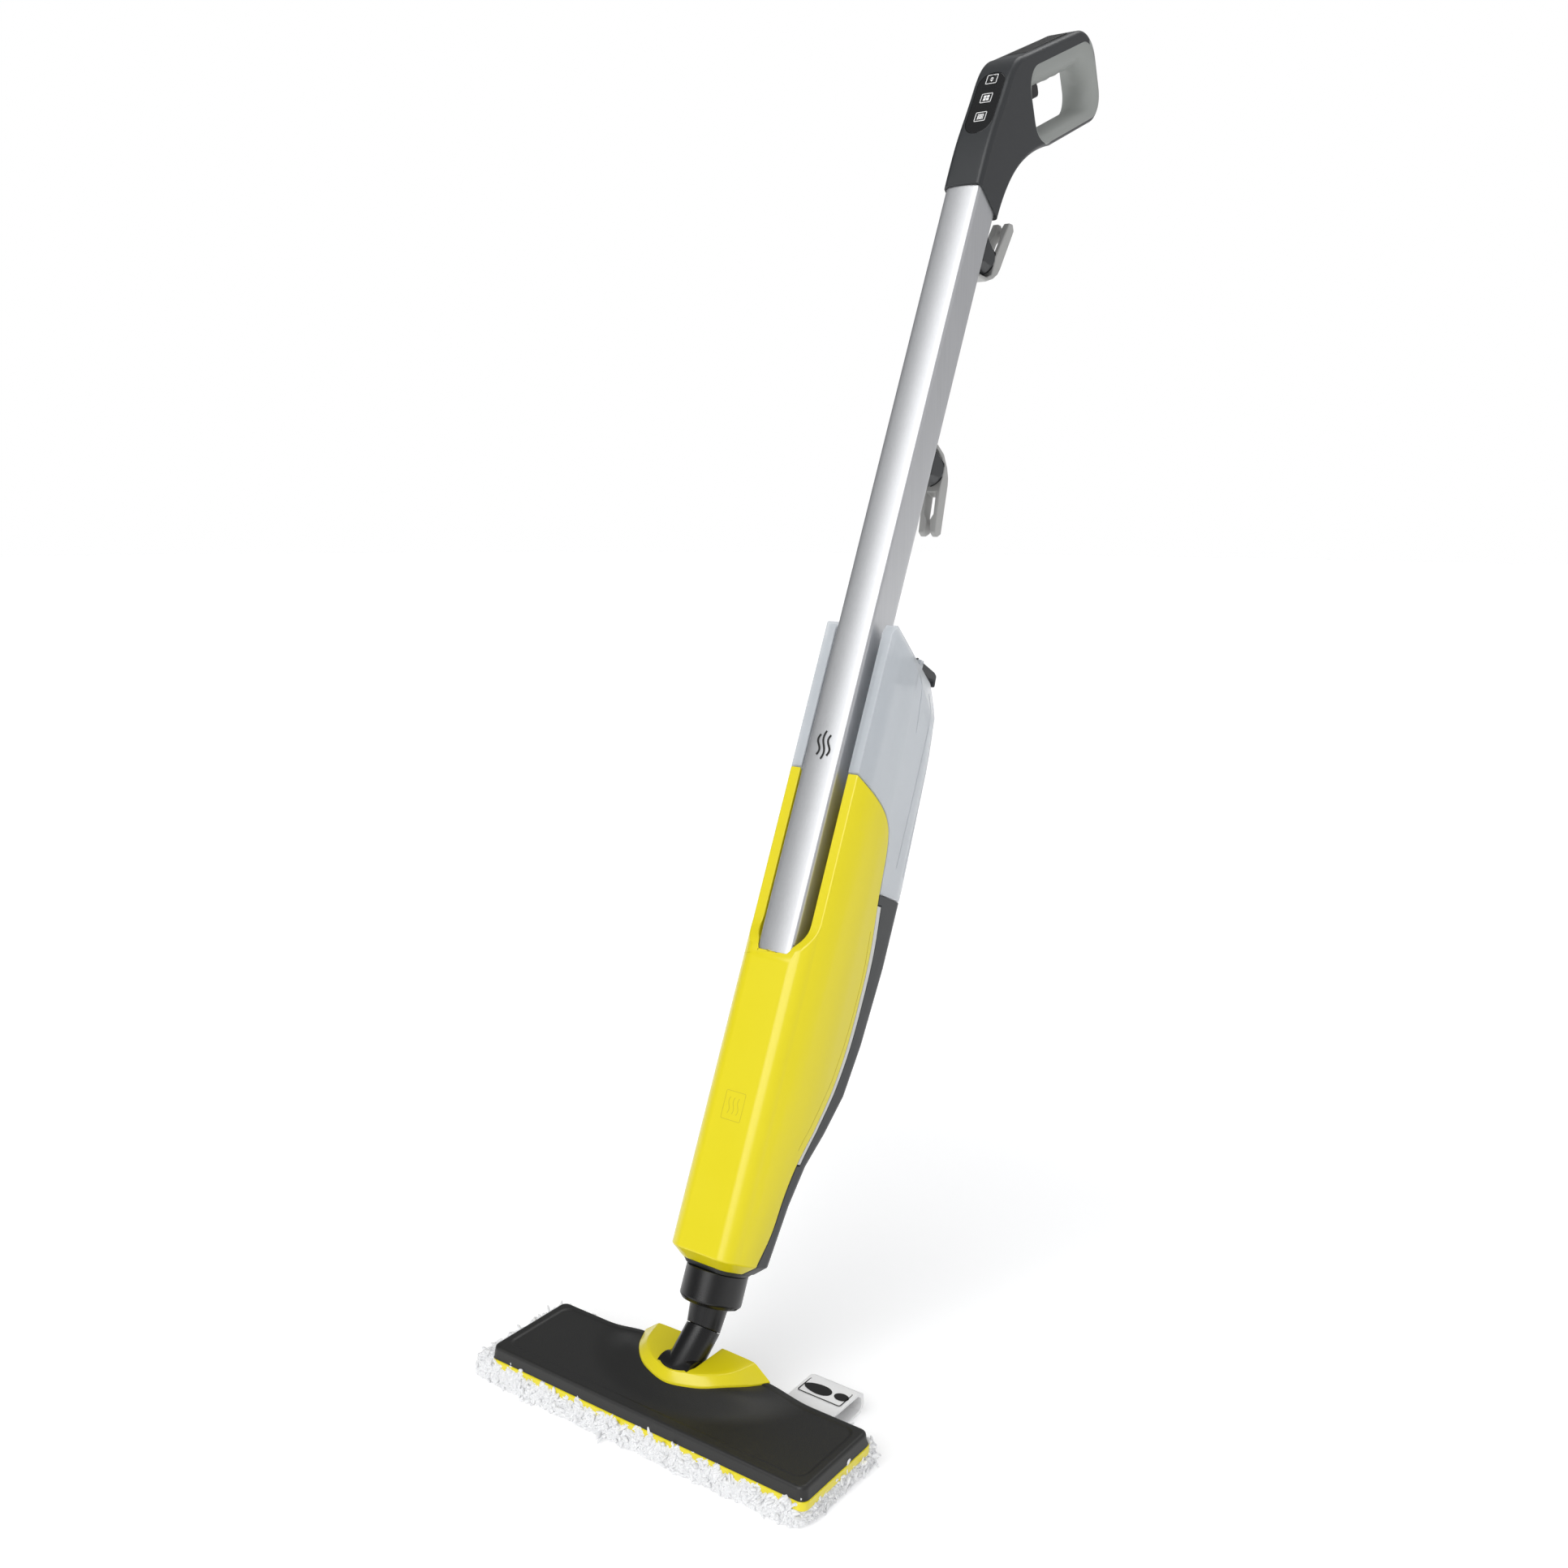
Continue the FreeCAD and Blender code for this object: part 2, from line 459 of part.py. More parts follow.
# ---------------------------------------------------------------- body shells
def shells():
    outer = body_solid()
    inner = body_solid(size["shell_wall"])
    behind = behind_border()
    tube_hole = tube_solid(250, 640, 0.25)
    tube_socket = tube_solid(282, 330, 2.4)

    front = outer.cut(behind).cut(front_cut()).cut(channel())
    front = front.cut(block((-70, -60, size["rail_high"]), (70, 160, 640)))
    hollow = inner.cut(front_cut(size["shell_wall"])).cut(channel(size["shell_wall"])).cut(tube_socket)
    hollow = hollow.cut(block((-70, -60, size["rail_high"] - 2.4), (70, 160, 640)))
    front = front.cut(hollow).cut(tube_hole)
    spots = [(x, height) for x in (-28.5, 28.5) for height in (240, 340)]
    posts = [rod((x, -6.0, z), (x, 47.0, z), 5.0) for x, z in spots]
    front = front.fuse(Part.makeCompound(posts).common(outer))
    front = front.cut([rod((x, 24, z), (x, 60, z), 1.5) for x, z in spots])
    feature("front_shell", largest(front.cut(front_cut())), BODY)

    strip = behind_border(0.25, 166, 364).cut(behind_border(4.6, 150, 380))
    skin = outer.cut(body_solid(1.5))
    for side, sign in (("left", -1), ("right", 1)):
        keep = block((min(0, sign * 70), -60, 60), (max(0, sign * 70), 160, 640))
        feature(f"side_trim_{side}", largest(skin.common(strip).common(keep)), BODY)

    rear = outer.common(behind_border(0.2, 60, size["tank_low"] - 0.4))
    deck = block((-60, 20, size["tank_low"] - 3.2), (60, 160, size["tank_low"]))
    hollow = inner.cut(deck)
    groove = behind_border(0.0, 165, 365).cut(behind_border(4.9, 150, 380)).cut(body_solid(1.6))
    rear = rear.cut(hollow).cut(groove).cut(channel(size["shell_wall"])).cut(tube_socket)
    rear = rear.cut(Part.makeCylinder(8.0, 20, V(0, 56, size["tank_low"] - 10)))
    backs = {240: 69.5, 340: 79.0}
    posts = [rod((x, 52.0, z), (x, backs[z], z), 5.0) for x, z in spots]
    rear = rear.fuse(Part.makeCompound(posts))
    rear = rear.cut([rod((x, 40, z), (x, 90, z), 1.6) for x, z in spots])
    rear = rear.cut([rod((x, backs[z] - 5, z), (x, 90, z), 3.1) for x, z in spots])
    gland = rod((0, 20, 150), (0, 60, 150), 6.05)
    feature("rear_shell", largest(rear.cut(gland)), BODY)

    bung = rod((0, 35.3, 150), (0, 47.5, 150), 6.0).fuse(rod((0, 40.3, 150), (0, 43.6, 150), 9.0))
    wall_ring = rod((0, 20, 150), (0, 60, 150), 9.0).common(outer).cut(rod((0, 20, 150), (0, 60, 150), 6.0))
    feature("cord_gland", bung.cut(wall_ring).cut(rod((0, 20, 150), (0, 60, 150), 3.6)), BODY)

    foot = body_ring(79.0, *STATIONS[0][1:], 0.0, (0.66, 0.6, 5.6))
    top = body_ring(82.4, *STATIONS[0][1:], 0.0, (0.74, 0.69, 4.9))
    base = Part.makeLoft([foot, top], True, True)
    neck_axis = V(0, size["seam_back"], 0)
    spigot = Part.makeCylinder(size["spigot_radius"], 21.4, neck_axis + V(0, 0, 61.0))
    base = base.fuse(spigot).cut(Part.makeCylinder(size["elbow_bore"], 60, neck_axis + V(0, 0, 50)))
    ring = Part.makeTorus(size["spigot_radius"] - 0.7, 0.95, V(0, size["seam_back"], 66), Z_AXIS)
    feature("body_base", base.cut(ring), BODY)

    heads = [rod((x, backs[z] - 4.9, z), (x, backs[z] - 2.6, z), 3.0).fuse(
        rod((x, 25, z), (x, backs[z] - 4.9, z), 1.5)).removeSplitter() for x, z in spots]
    feature("shell_screws", Part.makeCompound(heads), BODY)


def largest(shape):
    """The biggest solid of a cut, without slivers."""
    return max(shape.Solids, key=lambda solid: solid.Volume)


# ---------------------------------------------------------------- water tank
# Three points of each facet that bevels the crown's right-hand edge, in the body's own frame.
FACETS = [((32.0, 5.0, 567.6), (33.7, 43.0, 551.5), (42.5, 13.1, 551.5)),
          ((33.7, 43.0, 551.5), (28.0, 72.0, 547.0), (42.5, 54.5, 522.0))]


def beyond(facet, side, inset):
    """Everything above the facet's plane, on one side of the body, moved inwards by inset."""
    a, b, c = (V(x * side, y, z) for x, y, z in facet)
    normal = (b - a).cross(c - a).normalize()
    normal = normal * (1 if normal.z > 0 else -1)
    slab = Part.makeBox(400, 400, 120, V(-200, -200, 0))
    slab.Placement = FreeCAD.Placement(a - normal * inset, FreeCAD.Rotation(Z_AXIS, normal))
    return slab.common(block((min(0, side * 90), -90, 400), (max(0, side * 90), 190, 700)))


def tank():
    outer = body_solid()
    wall = 2.2
    crown = [(-60, 562.5), (-6.7, 562.5), (-3, size["tank_high"]), (43, 551.5), (78, 546.0), (160, 540),
             (160, 700), (-60, 700)]
    low_crown = [(y, z - wall if z < 700 else z) for y, z in crown]

    def trimmed(inset, shift, channel_grow, low, top):
        shape = body_solid(inset) if inset else outer
        shape = shape.common(behind_border(shift, low, 600)).cut(prism(top, 160))
        for facet in FACETS:
            shape = shape.cut(beyond(facet, 1, inset)).cut(beyond(facet, -1, inset))
        shape = shape.cut(block((-70, -60, low), (70, size["rim_front"] + inset, 700)))
        half = size["channel_half"] - 0.3 + channel_grow
        return shape.cut(block((-half, -60, 300), (half, size["channel_floor"] + 1.2 + channel_grow, 700)))

    shell = trimmed(0, 0.7, 0, size["tank_low"] + 0.3, crown)
    space = trimmed(wall, 0.7 + wall, wall, size["tank_low"] + 0.3 + wall, low_crown)
    neck_at = V(0, 58, 0)
    mouth = Part.makeCylinder(11.0, 20, V(0, neck_at.y, 540))
    collar = Part.makeCylinder(13.2, 11.6, V(0, neck_at.y, 540))
    outlet = Part.makeCylinder(6.2, 9.5, V(0, 56, size["tank_low"] - 8.5))
    ears = [block((side * 30.4 - 2, 40.2, 546), (side * 30.4 + 2, 45, 558.6)) for side in (-1, 1)]
    shell = shell.cut(space).fuse(ears + [collar, outlet]).cut(mouth)
    shell = shell.cut(rod((-40, 42.6, 556.4), (40, 42.6, 556.4), 1.05))
    shell = shell.cut(Part.makeCylinder(4.0, 30, V(0, 56, size["tank_low"] - 12)))
    feature("water_tank", largest(shell), BODY)
    valve = Part.makeCylinder(3.8, 11.0, V(0, 56, size["tank_low"] - 7)).fuse(
        Part.makeCylinder(5.6, 2.0, V(0, 56, size["tank_low"] + 2.52)))
    feature("tank_valve", valve, BODY)

    lid = prism([(43.5, 551.9), (73.5, 551.9), (75.5, 547.0), (77.5, 547.0), (76.5, 556.5), (72, 558.2),
                 (43.5, 560.2)], 56)
    knuckle = rod((-27, 42.6, 556.4), (27, 42.6, 556.4), 2.9)
    lid = lid.fuse(knuckle).cut(rod((-30, 42.6, 556.4), (30, 42.6, 556.4), 1.03))
    lid = lid.cut(block((-40, 0, 540), (40, 50, 553.2))).cut(Part.makeCylinder(13.4, 4, V(0, 58, 548)))
    feature("tank_cap", largest(lid), BODY)
    feature("cap_pin", rod((-32, 42.6, 556.4), (32, 42.6, 556.4), 1.0), BODY)
    plug = Part.makeCone(7.6, 9.6, 5.2, V(0, 58, 546.8)).cut(Part.makeCylinder(6.0, 3.5, V(0, 58, 546.7)))
    feature("cap_seal", plug, BODY)


# ---------------------------------------------------------------- tube
def tube():
    length = "sizes.tube_high - sizes.tube_low"
    outer = pad("main_tube_outer", "XY_Plane", tube_section(), length)
    inner = pad("main_tube_inner", "XY_Plane", tube_section(-size["tube_wall"]), length)
    lift = FreeCAD.Placement(V(0, 0, size["tube_low"]), FreeCAD.Rotation())
    piece(cut("main_tube_cut", outer, inner), "main_tube", BODY.multiply(lift))
    feature("switch_cable", rod((0, 3, size["tube_low"] - 20), (0, 3, 985), 2.4), BODY)


# ---------------------------------------------------------------- handle
ALONG = V(0, math.cos(math.radians(size["loop_angle"])), math.sin(math.radians(size["loop_angle"])))
ACROSS = V(0, -math.sin(math.radians(size["loop_angle"])), math.cos(math.radians(size["loop_angle"])))


def grip_point(along, across):
    """(y, z) of a point given along the grip and square to it."""
    point = ALONG * along + ACROSS * across
    return point.y, point.z


def grip_block(low, high, radius, half):
    """A rounded slab in the plane of the loop, low and high in grip coordinates, 2 * half wide."""
    face = Part.Face(wire_of(rounded(low, high, radius)))
    turn = FreeCAD.Matrix(0, 0, 1, 0, ALONG.y, ACROSS.y, 0, 0, ALONG.z, ACROSS.z, 0, 0)
    face = face.transformGeometry(turn)
    face.translate(V(-half, 0, 0))
    return face.extrude(V(2 * half, 0, 0))


def handle_outline():
    """Side outline of the handle in (y, z), as sketch edges in order."""
    low = size["handle_low"]
    front = [(-16.3, low), (-16.2, 958), (-15.2, 978), (-12.6, 1000), (-10.4, 1020), (-8.4, 1038),
             (-4.6, 1050.5), (4.6, 1062.5)]
    top_end, rear_high = grip_point(880, 726), grip_point(907, 699)
    rear_low, under_end = grip_point(907, 676), grip_point(881, 651)
    under_start = grip_point(800, 651)
    under = [under_start, (47.5, 999), (33.5, 976), (26, 952), (23.2, 926)]

    def spline(points):
        curve = Part.BSplineCurve()
        curve.interpolate([V(*p, 0) for p in points])
        return curve

    def line(a, b):
        return Part.LineSegment(V(*a, 0), V(*b, 0))

    def corner(start, along, across, end):
        return Part.Arc(V(*start, 0), V(*grip_point(along, across), 0), V(*end, 0))

    return [spline(front), line(front[-1], top_end), corner(top_end, 899.5, 718, rear_high),
            line(rear_high, rear_low), corner(rear_low, 899.5, 658, under_end),
            line(under_end, under_start), spline(under), line(under[-1], (19, 926)),
            line((19, 926), front[0])]


def profile_yz(edges, half):
    """Extrudes sketch edges given in (y, z) along X, from -half to half."""
    wire = wire_of(edges)
    swap = FreeCAD.Matrix(0, 0, 1, 0, 1, 0, 0, 0, 0, 1, 0, 0)
    face = Part.Face(wire.transformGeometry(swap))
    face.translate(V(-half, 0, 0))
    return face.extrude(V(2 * half, 0, 0))


def handle():
    half = size["handle_half"]
    solid = profile_yz(handle_outline(), half)
    sides = [edge for edge in solid.Edges if abs(abs(edge.CenterOfMass.x) - half) < 0.01
             and edge.CenterOfMass.z > size["handle_low"] + 0.5]
    solid = solid.makeFillet(4.5, sides)
    window = grip_block((774.5, 654.5), (903.0, 716.0), 20.0, 30)
    hand_gap = grip_block((778, 664), (893.5, 696.5), 15.0, 30)
    solid = solid.cut(window)
    parting = [(10.3, 915), (10.3, 953), (13.4, 968), (25, 989.5), (48.5, 1018.5), grip_point(784, 652.8),
               grip_point(888, 652.8), grip_point(888, 600), (60, 915)]
    below = prism(parting, 80)
    socket = tube_solid(900, size["tube_high"] + 0.3, 0.05)
    core = prism([(-10, 962), (14, 962), (22, 985), (30, 1010), (26, 1030), (12, 1052), (-3, 1030),
                  (-10, 1000)], 24)
    mode_well = rod((0, -30, 1033), (0, 0, 1033), 4.6)
    panel = display_solid(0.15, 2.3)
    shell = solid.cut(below).cut(socket).cut(core).cut(panel).cut(mode_well)
    shell = shell.cut(grip_block((790, 722.6), (872, 740), 2.0, 9.3))
    feature("handle_shell", largest(shell), BODY)
    feature("handle_underside", largest(solid.common(below).cut(socket)), BODY)
    feature("grip_top_pad", grip_block((790.2, 722.8), (871.8, 727.2), 2.0, 9.1), BODY)

    inlay = grip_block((774.7, 654.7), (902.8, 715.8), 19.8, 15.4).cut(hand_gap)
    well = grip_block((776.5, 680), (809, 711), 2.0, 8.4)
    pin_at = grip_point(782.5, 705.5)
    feature("grip_inlay", largest(inlay.cut(well).cut(rod((-11.6, *pin_at), (11.6, *pin_at), 1.52))), BODY)

    lever = grip_block((778.8, 690), (806.5, 701), 4.0, 8.0)
    lever = lever.fuse(grip_block((778.8, 696), (786, 709.5), 3.5, 8.0))
    feature("trigger", lever.cut(rod((-20, *pin_at), (20, *pin_at), 1.55)), BODY)
    feature("trigger_pin", rod((-11.5, *pin_at), (11.5, *pin_at), 1.5), BODY)
    feature("trigger_spring", rod((0, *grip_point(801, 701.1)), (0, *grip_point(801, 710.9)), 2.4), BODY)
    feature("steam_switch", grip_block((787.5, 706.5), (797, 711), 0.5, 4.0), BODY)


def display_solid(grow, sink):
    """Rounded black panel in the handle's front, lying on its slight lean."""
    face = Part.Face(wire_of(rounded((-12.2 - grow, -29 - grow), (12.2 + grow, 31 + grow), 12.1)))
    slab = face.extrude(V(0, 0, 8))
    turn = FreeCAD.Rotation(X_AXIS, 90 - 7.0)
    slab.Placement = FreeCAD.Placement(V(0, -11.9 + sink, 1009.5), turn)
    return slab


def display():
    panel = display_solid(0, 2.2).common(profile_yz(handle_outline(), 30))
    well = rod((0, -30, 1033), (0, 5, 1033), 4.6)
    lamps = [rod((0, -20, height), (0, back, height), 4.0) for height, back in ((1015, -10.2), (997, -12.2))]
    feature("display_panel", largest(panel.cut(well).cut(lamps)), BODY)
    feature("mode_button", rod((0, -9.7, 1033), (0, -1.5, 1033), 4.2), BODY)
    feature("mode_lamps", Part.makeCompound([largest(lamp.common(panel)) for lamp in lamps]), BODY)


# ---------------------------------------------------------------- cord hooks
HOOK_SIDE = [(28.0, -19.5), (41, -16.6), (50.5, -9.0), (55.5, -2.5), (57.5, 3), (64.6, 42.5), (60.5, 46.5),
             (55.0, 44.5), (52.0, 32), (49, 19), (46.3, 8), (46.3, -7.2), (40.4, -13.0), (28.0, -16.6)]
KEYHOLE = [(-4.1, 13), (-4.1, 30), (-1.7, 34), (-1.7, 39), (-3.2, 48), (3.2, 48), (1.7, 39), (1.7, 34),
           (4.1, 30), (4.1, 13)]


def hooks():
    """Two turning cord clips, each on a fixed boss on the back of the tube and held by a screw."""
    rear = size["tube_rear"]
    for name, axis_up, way in (("upper", size["hook_upper"], 1), ("lower", size["hook_lower"], -1)):
        wide = Part.makeCone(16.0, 13.0, 17, V(0, rear + 0.02, axis_up), Y_AXIS)
        dome = wide.fuse(Part.makeCone(13.0, 7.0, 7.7, V(0, rear + 17, axis_up), Y_AXIS))
        dome = dome.common(block((-12.5, 0, axis_up - 30), (12.5, 80, axis_up + 30)))
        boss = dome.fuse(rod((0, rear + 10, axis_up), (0, rear + 30, axis_up), 4.0))
        feature(f"hook_boss_{name}", boss.cut(rod((0, rear + 15, axis_up), (0, 60, axis_up), 1.5)), BODY)

        hook = prism([(y, axis_up + way * z) for y, z in HOOK_SIDE], 16)
        wire = Part.makePolygon([V(x, 20, axis_up + way * z) for x, z in KEYHOLE + KEYHOLE[:1]])
        hook = hook.cut(Part.Face(wire).extrude(V(0, 60, 0)))
        hook = hook.cut(rod((0, rear, axis_up), (0, 52, axis_up), 4.06))
        feature(f"hook_{name}", largest(hook.cut(rod((0, 51, axis_up), (0, 70, axis_up), 4.7))), BODY)
    heads = []
    for axis_up in (size["hook_upper"], size["hook_lower"]):
        shank = rod((0, rear + 16, axis_up), (0, rear + 31, axis_up), 1.5)
        head = rod((0, rear + 30.1, axis_up), (0, rear + 32.4, axis_up), 4.4)
        heads.append(shank.fuse(head).removeSplitter())
    feature("hook_screws", Part.makeCompound(heads), BODY)


# ---------------------------------------------------------------- inside the body
def inside():
    """Everything the shells hide: steam generator, pump, cartridge, hoses and control board."""
    boiler = Part.makeCylinder(17, 78, V(0, 11, 96)).fuse(Part.makeCylinder(18.5, 4, V(0, 11, 132)))
    feature("steam_generator", boiler, BODY)
    coil = [Part.makeTorus(17.0, 1.3, V(0, 11, height), Z_AXIS).cut(boiler)
            for height in (102, 108, 114, 148, 156, 164)]
    feature("heating_coils", Part.makeCompound(coil), BODY)
    plate = rod((0, -9.6, 125), (0, -6.05, 125), 6.0)
    feature("thermostat", plate.fuse(block((-4, -12.6, 121), (4, -9.5, 129))), BODY)
    pump = Part.makeCylinder(17, 46, V(0, 46, 226)).fuse(Part.makeCylinder(9, 76, V(0, 46, 212)))
    feature("water_pump", pump, BODY)
    cartridge = Part.makeCylinder(13, 46, V(0, 56, 304)).fuse(Part.makeCylinder(5.5, 54, V(0, 56, 300)))
    feature("descaling_cartridge", cartridge, BODY)
    cup = Part.makeCylinder(9.6, 9.4, V(0, 56, size["tank_low"] - 12.6)).cut(
        Part.makeCylinder(6.6, 9.0, V(0, 56, size["tank_low"] - 10.0))).cut(
        Part.makeCylinder(3.0, 20, V(0, 56, size["tank_low"] - 16)))
    feature("tank_socket", cup, BODY)
    suction = [(0, 56, 299.9), (0, 56, 294), (0, 46, 292), (0, 46, 288.1)]
    feature("suction_hose", round_bar(suction, 2.5), BODY)
    pressure = [(0, 46, 211.9), (0, 46, 204), (0, 11, 184), (0, 11, 174.1)]
    feature("pressure_hose", round_bar(pressure, 3.0), BODY)
    bend = [(0, 11, 95.9), (0, 11, 91), (0, size["seam_back"], 86), (0, size["seam_back"], 61)]
    feature("steam_pipe", round_bar(bend, 4.0), BODY)
    board = block((-20, -9, 196), (20, -7.4, 276))
    chips = [(-16, 204, 14, 12, 9), (4, 206, 14, 16, 12), (-18, 232, 12, 20, 7), (2, 238, 10, 8, 5),
             (9, 252, 8, 18, 10)]
    blocks = [block((x, -7.4, z), (x + wide, -7.4 + deep, z + tall)) for x, z, wide, tall, deep in chips]
    feature("control_board", board.fuse(blocks), BODY)


def check(obj):
    bad = "Invalid" in obj.State or "Error" in obj.State
    return bad or obj.Shape.isNull() or not obj.Shape.isValid() or not obj.Shape.Solids


floor_head()
cloth()
neck()
coupling()
shells()
tank()
tube()
handle()
display()
hooks()
inside()
doc.recompute()

failed = [obj.Label for obj in pieces if check(obj)]
if failed:
    raise RuntimeError("bad sub-parts: " + ", ".join(failed))
os.makedirs("parts", exist_ok=True)
for obj in pieces:
    obj.Shape.exportStep(f"parts/{obj.Label}.step")
print(len(pieces), "sub-parts")
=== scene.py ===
"""Upright steam mop, dressed from its CAD frame: moulded shells, satin tube, clear tank, shaggy cloth."""
import bpy
import json
import math
import random
from mathutils import Matrix, Vector
from mathutils.bvhtree import BVHTree


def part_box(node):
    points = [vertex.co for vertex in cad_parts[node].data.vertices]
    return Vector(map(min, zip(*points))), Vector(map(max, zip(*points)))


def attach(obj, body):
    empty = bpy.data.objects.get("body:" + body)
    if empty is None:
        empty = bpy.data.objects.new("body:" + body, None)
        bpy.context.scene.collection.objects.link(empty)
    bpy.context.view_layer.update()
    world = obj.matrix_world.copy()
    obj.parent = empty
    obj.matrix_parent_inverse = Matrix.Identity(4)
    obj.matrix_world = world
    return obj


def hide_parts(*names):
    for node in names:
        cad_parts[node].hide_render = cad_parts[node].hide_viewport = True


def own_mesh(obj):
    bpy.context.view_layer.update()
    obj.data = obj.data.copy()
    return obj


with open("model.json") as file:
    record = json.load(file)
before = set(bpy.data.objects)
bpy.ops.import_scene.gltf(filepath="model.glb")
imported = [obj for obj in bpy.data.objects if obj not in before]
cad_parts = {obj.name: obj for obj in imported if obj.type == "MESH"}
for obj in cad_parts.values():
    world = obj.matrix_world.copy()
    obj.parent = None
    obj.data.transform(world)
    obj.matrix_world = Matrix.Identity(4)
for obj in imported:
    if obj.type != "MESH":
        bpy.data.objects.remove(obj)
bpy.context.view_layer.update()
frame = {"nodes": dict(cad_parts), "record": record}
nodes = frame["nodes"]
bodies = frame["record"]["behaviour"]["bodies"]
body_of = {node: body for body, members in bodies.items() for node in members}
MM = 0.001

# ------------------------------------------------------------------ studio
# A plain white sweep with the camera at chest height, in front and to the right of the mop.
# Soft daylight falls from the front, less from the rear, and a faint lamp stands to the right.
CAMERA_AT = Vector((0.6373, -0.7547, 0.6606))
CAMERA_ROUND, CAMERA_DOWN, CAMERA_ROLL = (math.radians(a) for a in (35.70, 11.13, 0.3165))
LENS, FILM_WIDTH = 35.14, 36
ROOM_DIM, ROOM_BRIGHT, WHITE = (0.17, 0.175, 0.18, 1), (0.44, 0.44, 0.45, 1), (1.0, 1.0, 1.0, 1)
FLOOR_GREY, FLOOR_GLOW, FLOOR_RADIUS = (0.86, 0.86, 0.86, 1), 0.3, 14


def camera_axes():
    sight = Vector((-math.sin(CAMERA_ROUND) * math.cos(CAMERA_DOWN),
                    math.cos(CAMERA_ROUND) * math.cos(CAMERA_DOWN), -math.sin(CAMERA_DOWN)))
    across = Vector((math.cos(CAMERA_ROUND), math.sin(CAMERA_ROUND), 0))
    upward = across.cross(sight)
    side = across * math.cos(CAMERA_ROLL) + upward * math.sin(CAMERA_ROLL)
    return side, upward * math.cos(CAMERA_ROLL) - across * math.sin(CAMERA_ROLL), -sight


camera = bpy.data.objects.new("camera", bpy.data.cameras.new("camera"))
camera.data.lens, camera.data.sensor_width = LENS, FILM_WIDTH
camera.matrix_world = Matrix.Translation(CAMERA_AT) @ Matrix(camera_axes()).transposed().to_4x4()
bpy.context.scene.collection.objects.link(camera)
bpy.context.scene.camera = camera
bpy.context.scene.view_settings.view_transform = "Standard"


def lamp(name, place, aim, width, height, watts):
    light = bpy.data.lights.new(name, "AREA")
    light.shape, light.size, light.size_y, light.energy = "RECTANGLE", width, height, watts
    holder = bpy.data.objects.new(name, light)
    holder.location = place
    holder.rotation_euler = (Vector(aim) - Vector(place)).to_track_quat("-Z", "Y").to_euler()
    bpy.context.scene.collection.objects.link(holder)


def daylight(name, strength, softness, tilt, turn):
    light = bpy.data.lights.new(name, "SUN")
    light.energy, light.angle = strength, math.radians(softness)
    holder = bpy.data.objects.new(name, light)
    holder.rotation_euler = (math.radians(tilt), 0, math.radians(turn))
    bpy.context.scene.collection.objects.link(holder)


lamp("lamp_right", (2.0, 0.9, 1.2), (0, 0.25, 0.55), 0.8, 2.4, 2)
daylight("front_daylight", 2.2, 56, 50, 2)
daylight("rear_daylight", 0.6, 36, -28, 6)


class Wire:
    """One value in a node tree. Sums and products of wires add its Math nodes."""

    def __init__(self, paint, socket):
        self.paint, self.socket = paint, socket

    def calc(self, operation, *others):
        return self.paint.add("ShaderNodeMath", {"operation": operation}, self, *others)

    def __add__(self, other):
        return self.calc("ADD", other)

    def __sub__(self, other):
        return self.calc("SUBTRACT", other)

    def __mul__(self, other):
        return self.calc("MULTIPLY", other)

    def __pow__(self, other):
        return self.calc("POWER", other)

    __radd__, __rmul__ = __add__, __mul__


class Paint:
    """A material with one Principled shader. add() puts any other node in its tree."""

    def __init__(self, name, sockets):
        self.material = bpy.data.materials.new(name)
        self.material.use_nodes = True
        self.tree = self.material.node_tree
        self.shader = self.tree.nodes.get("Principled BSDF")
        for key, value in sockets.items():
            self.feed(self.shader.inputs[key], value)

    def feed(self, socket, value):
        if isinstance(value, Wire):
            self.tree.links.new(value.socket, socket)
        else:
            socket.default_value = value

    def add(self, kind, settings=None, *values, named=None, out=0):
        node = self.tree.nodes.new(kind)
        for key, value in (settings or {}).items():
            setattr(node, key, value)
        for socket, value in zip(node.inputs, values):
            self.feed(socket, value)
        for key, value in (named or {}).items():
            self.feed(node.inputs[key], value)
        return Wire(self, node.outputs[out])

    def stretched(self, along_x, along_y, along_z):
        """Object coordinates scaled per axis, so that a pattern runs along the tallest one."""
        place = self.add("ShaderNodeTexCoord", out="Object")
        scale = (along_x, along_y, along_z)
        return self.add("ShaderNodeMapping", named={"Vector": place, "Scale": scale})

    def noise(self, scale, detail=3.0, place=None):
        place = place or self.add("ShaderNodeTexCoord", out="Object")
        return self.add("ShaderNodeTexNoise", named={"Vector": place, "Scale": scale, "Detail": detail})

    def mix(self, share, first, second):
        colours = {0: share, 6: first, 7: second}
        return self.add("ShaderNodeMix", {"data_type": "RGBA"}, named=colours, out=2)

    def bump(self, height, depth):
        return self.add("ShaderNodeBump", named={"Strength": 1.0, "Distance": depth, "Height": height})

    def to(self, key, value):
        self.feed(self.shader.inputs[key], value)


def tone(red, green, blue):
    """Linear colour of a shade given as it looks on a screen, 0 to 255."""
    shares = [c / 255 for c in (red, green, blue)]
    return tuple(s / 12.92 if s < 0.04045 else ((s + 0.055) / 1.055) ** 2.4 for s in shares) + (1.0,)


def darker(colour, share):
    return tuple(c * share for c in colour[:3]) + (colour[3],)


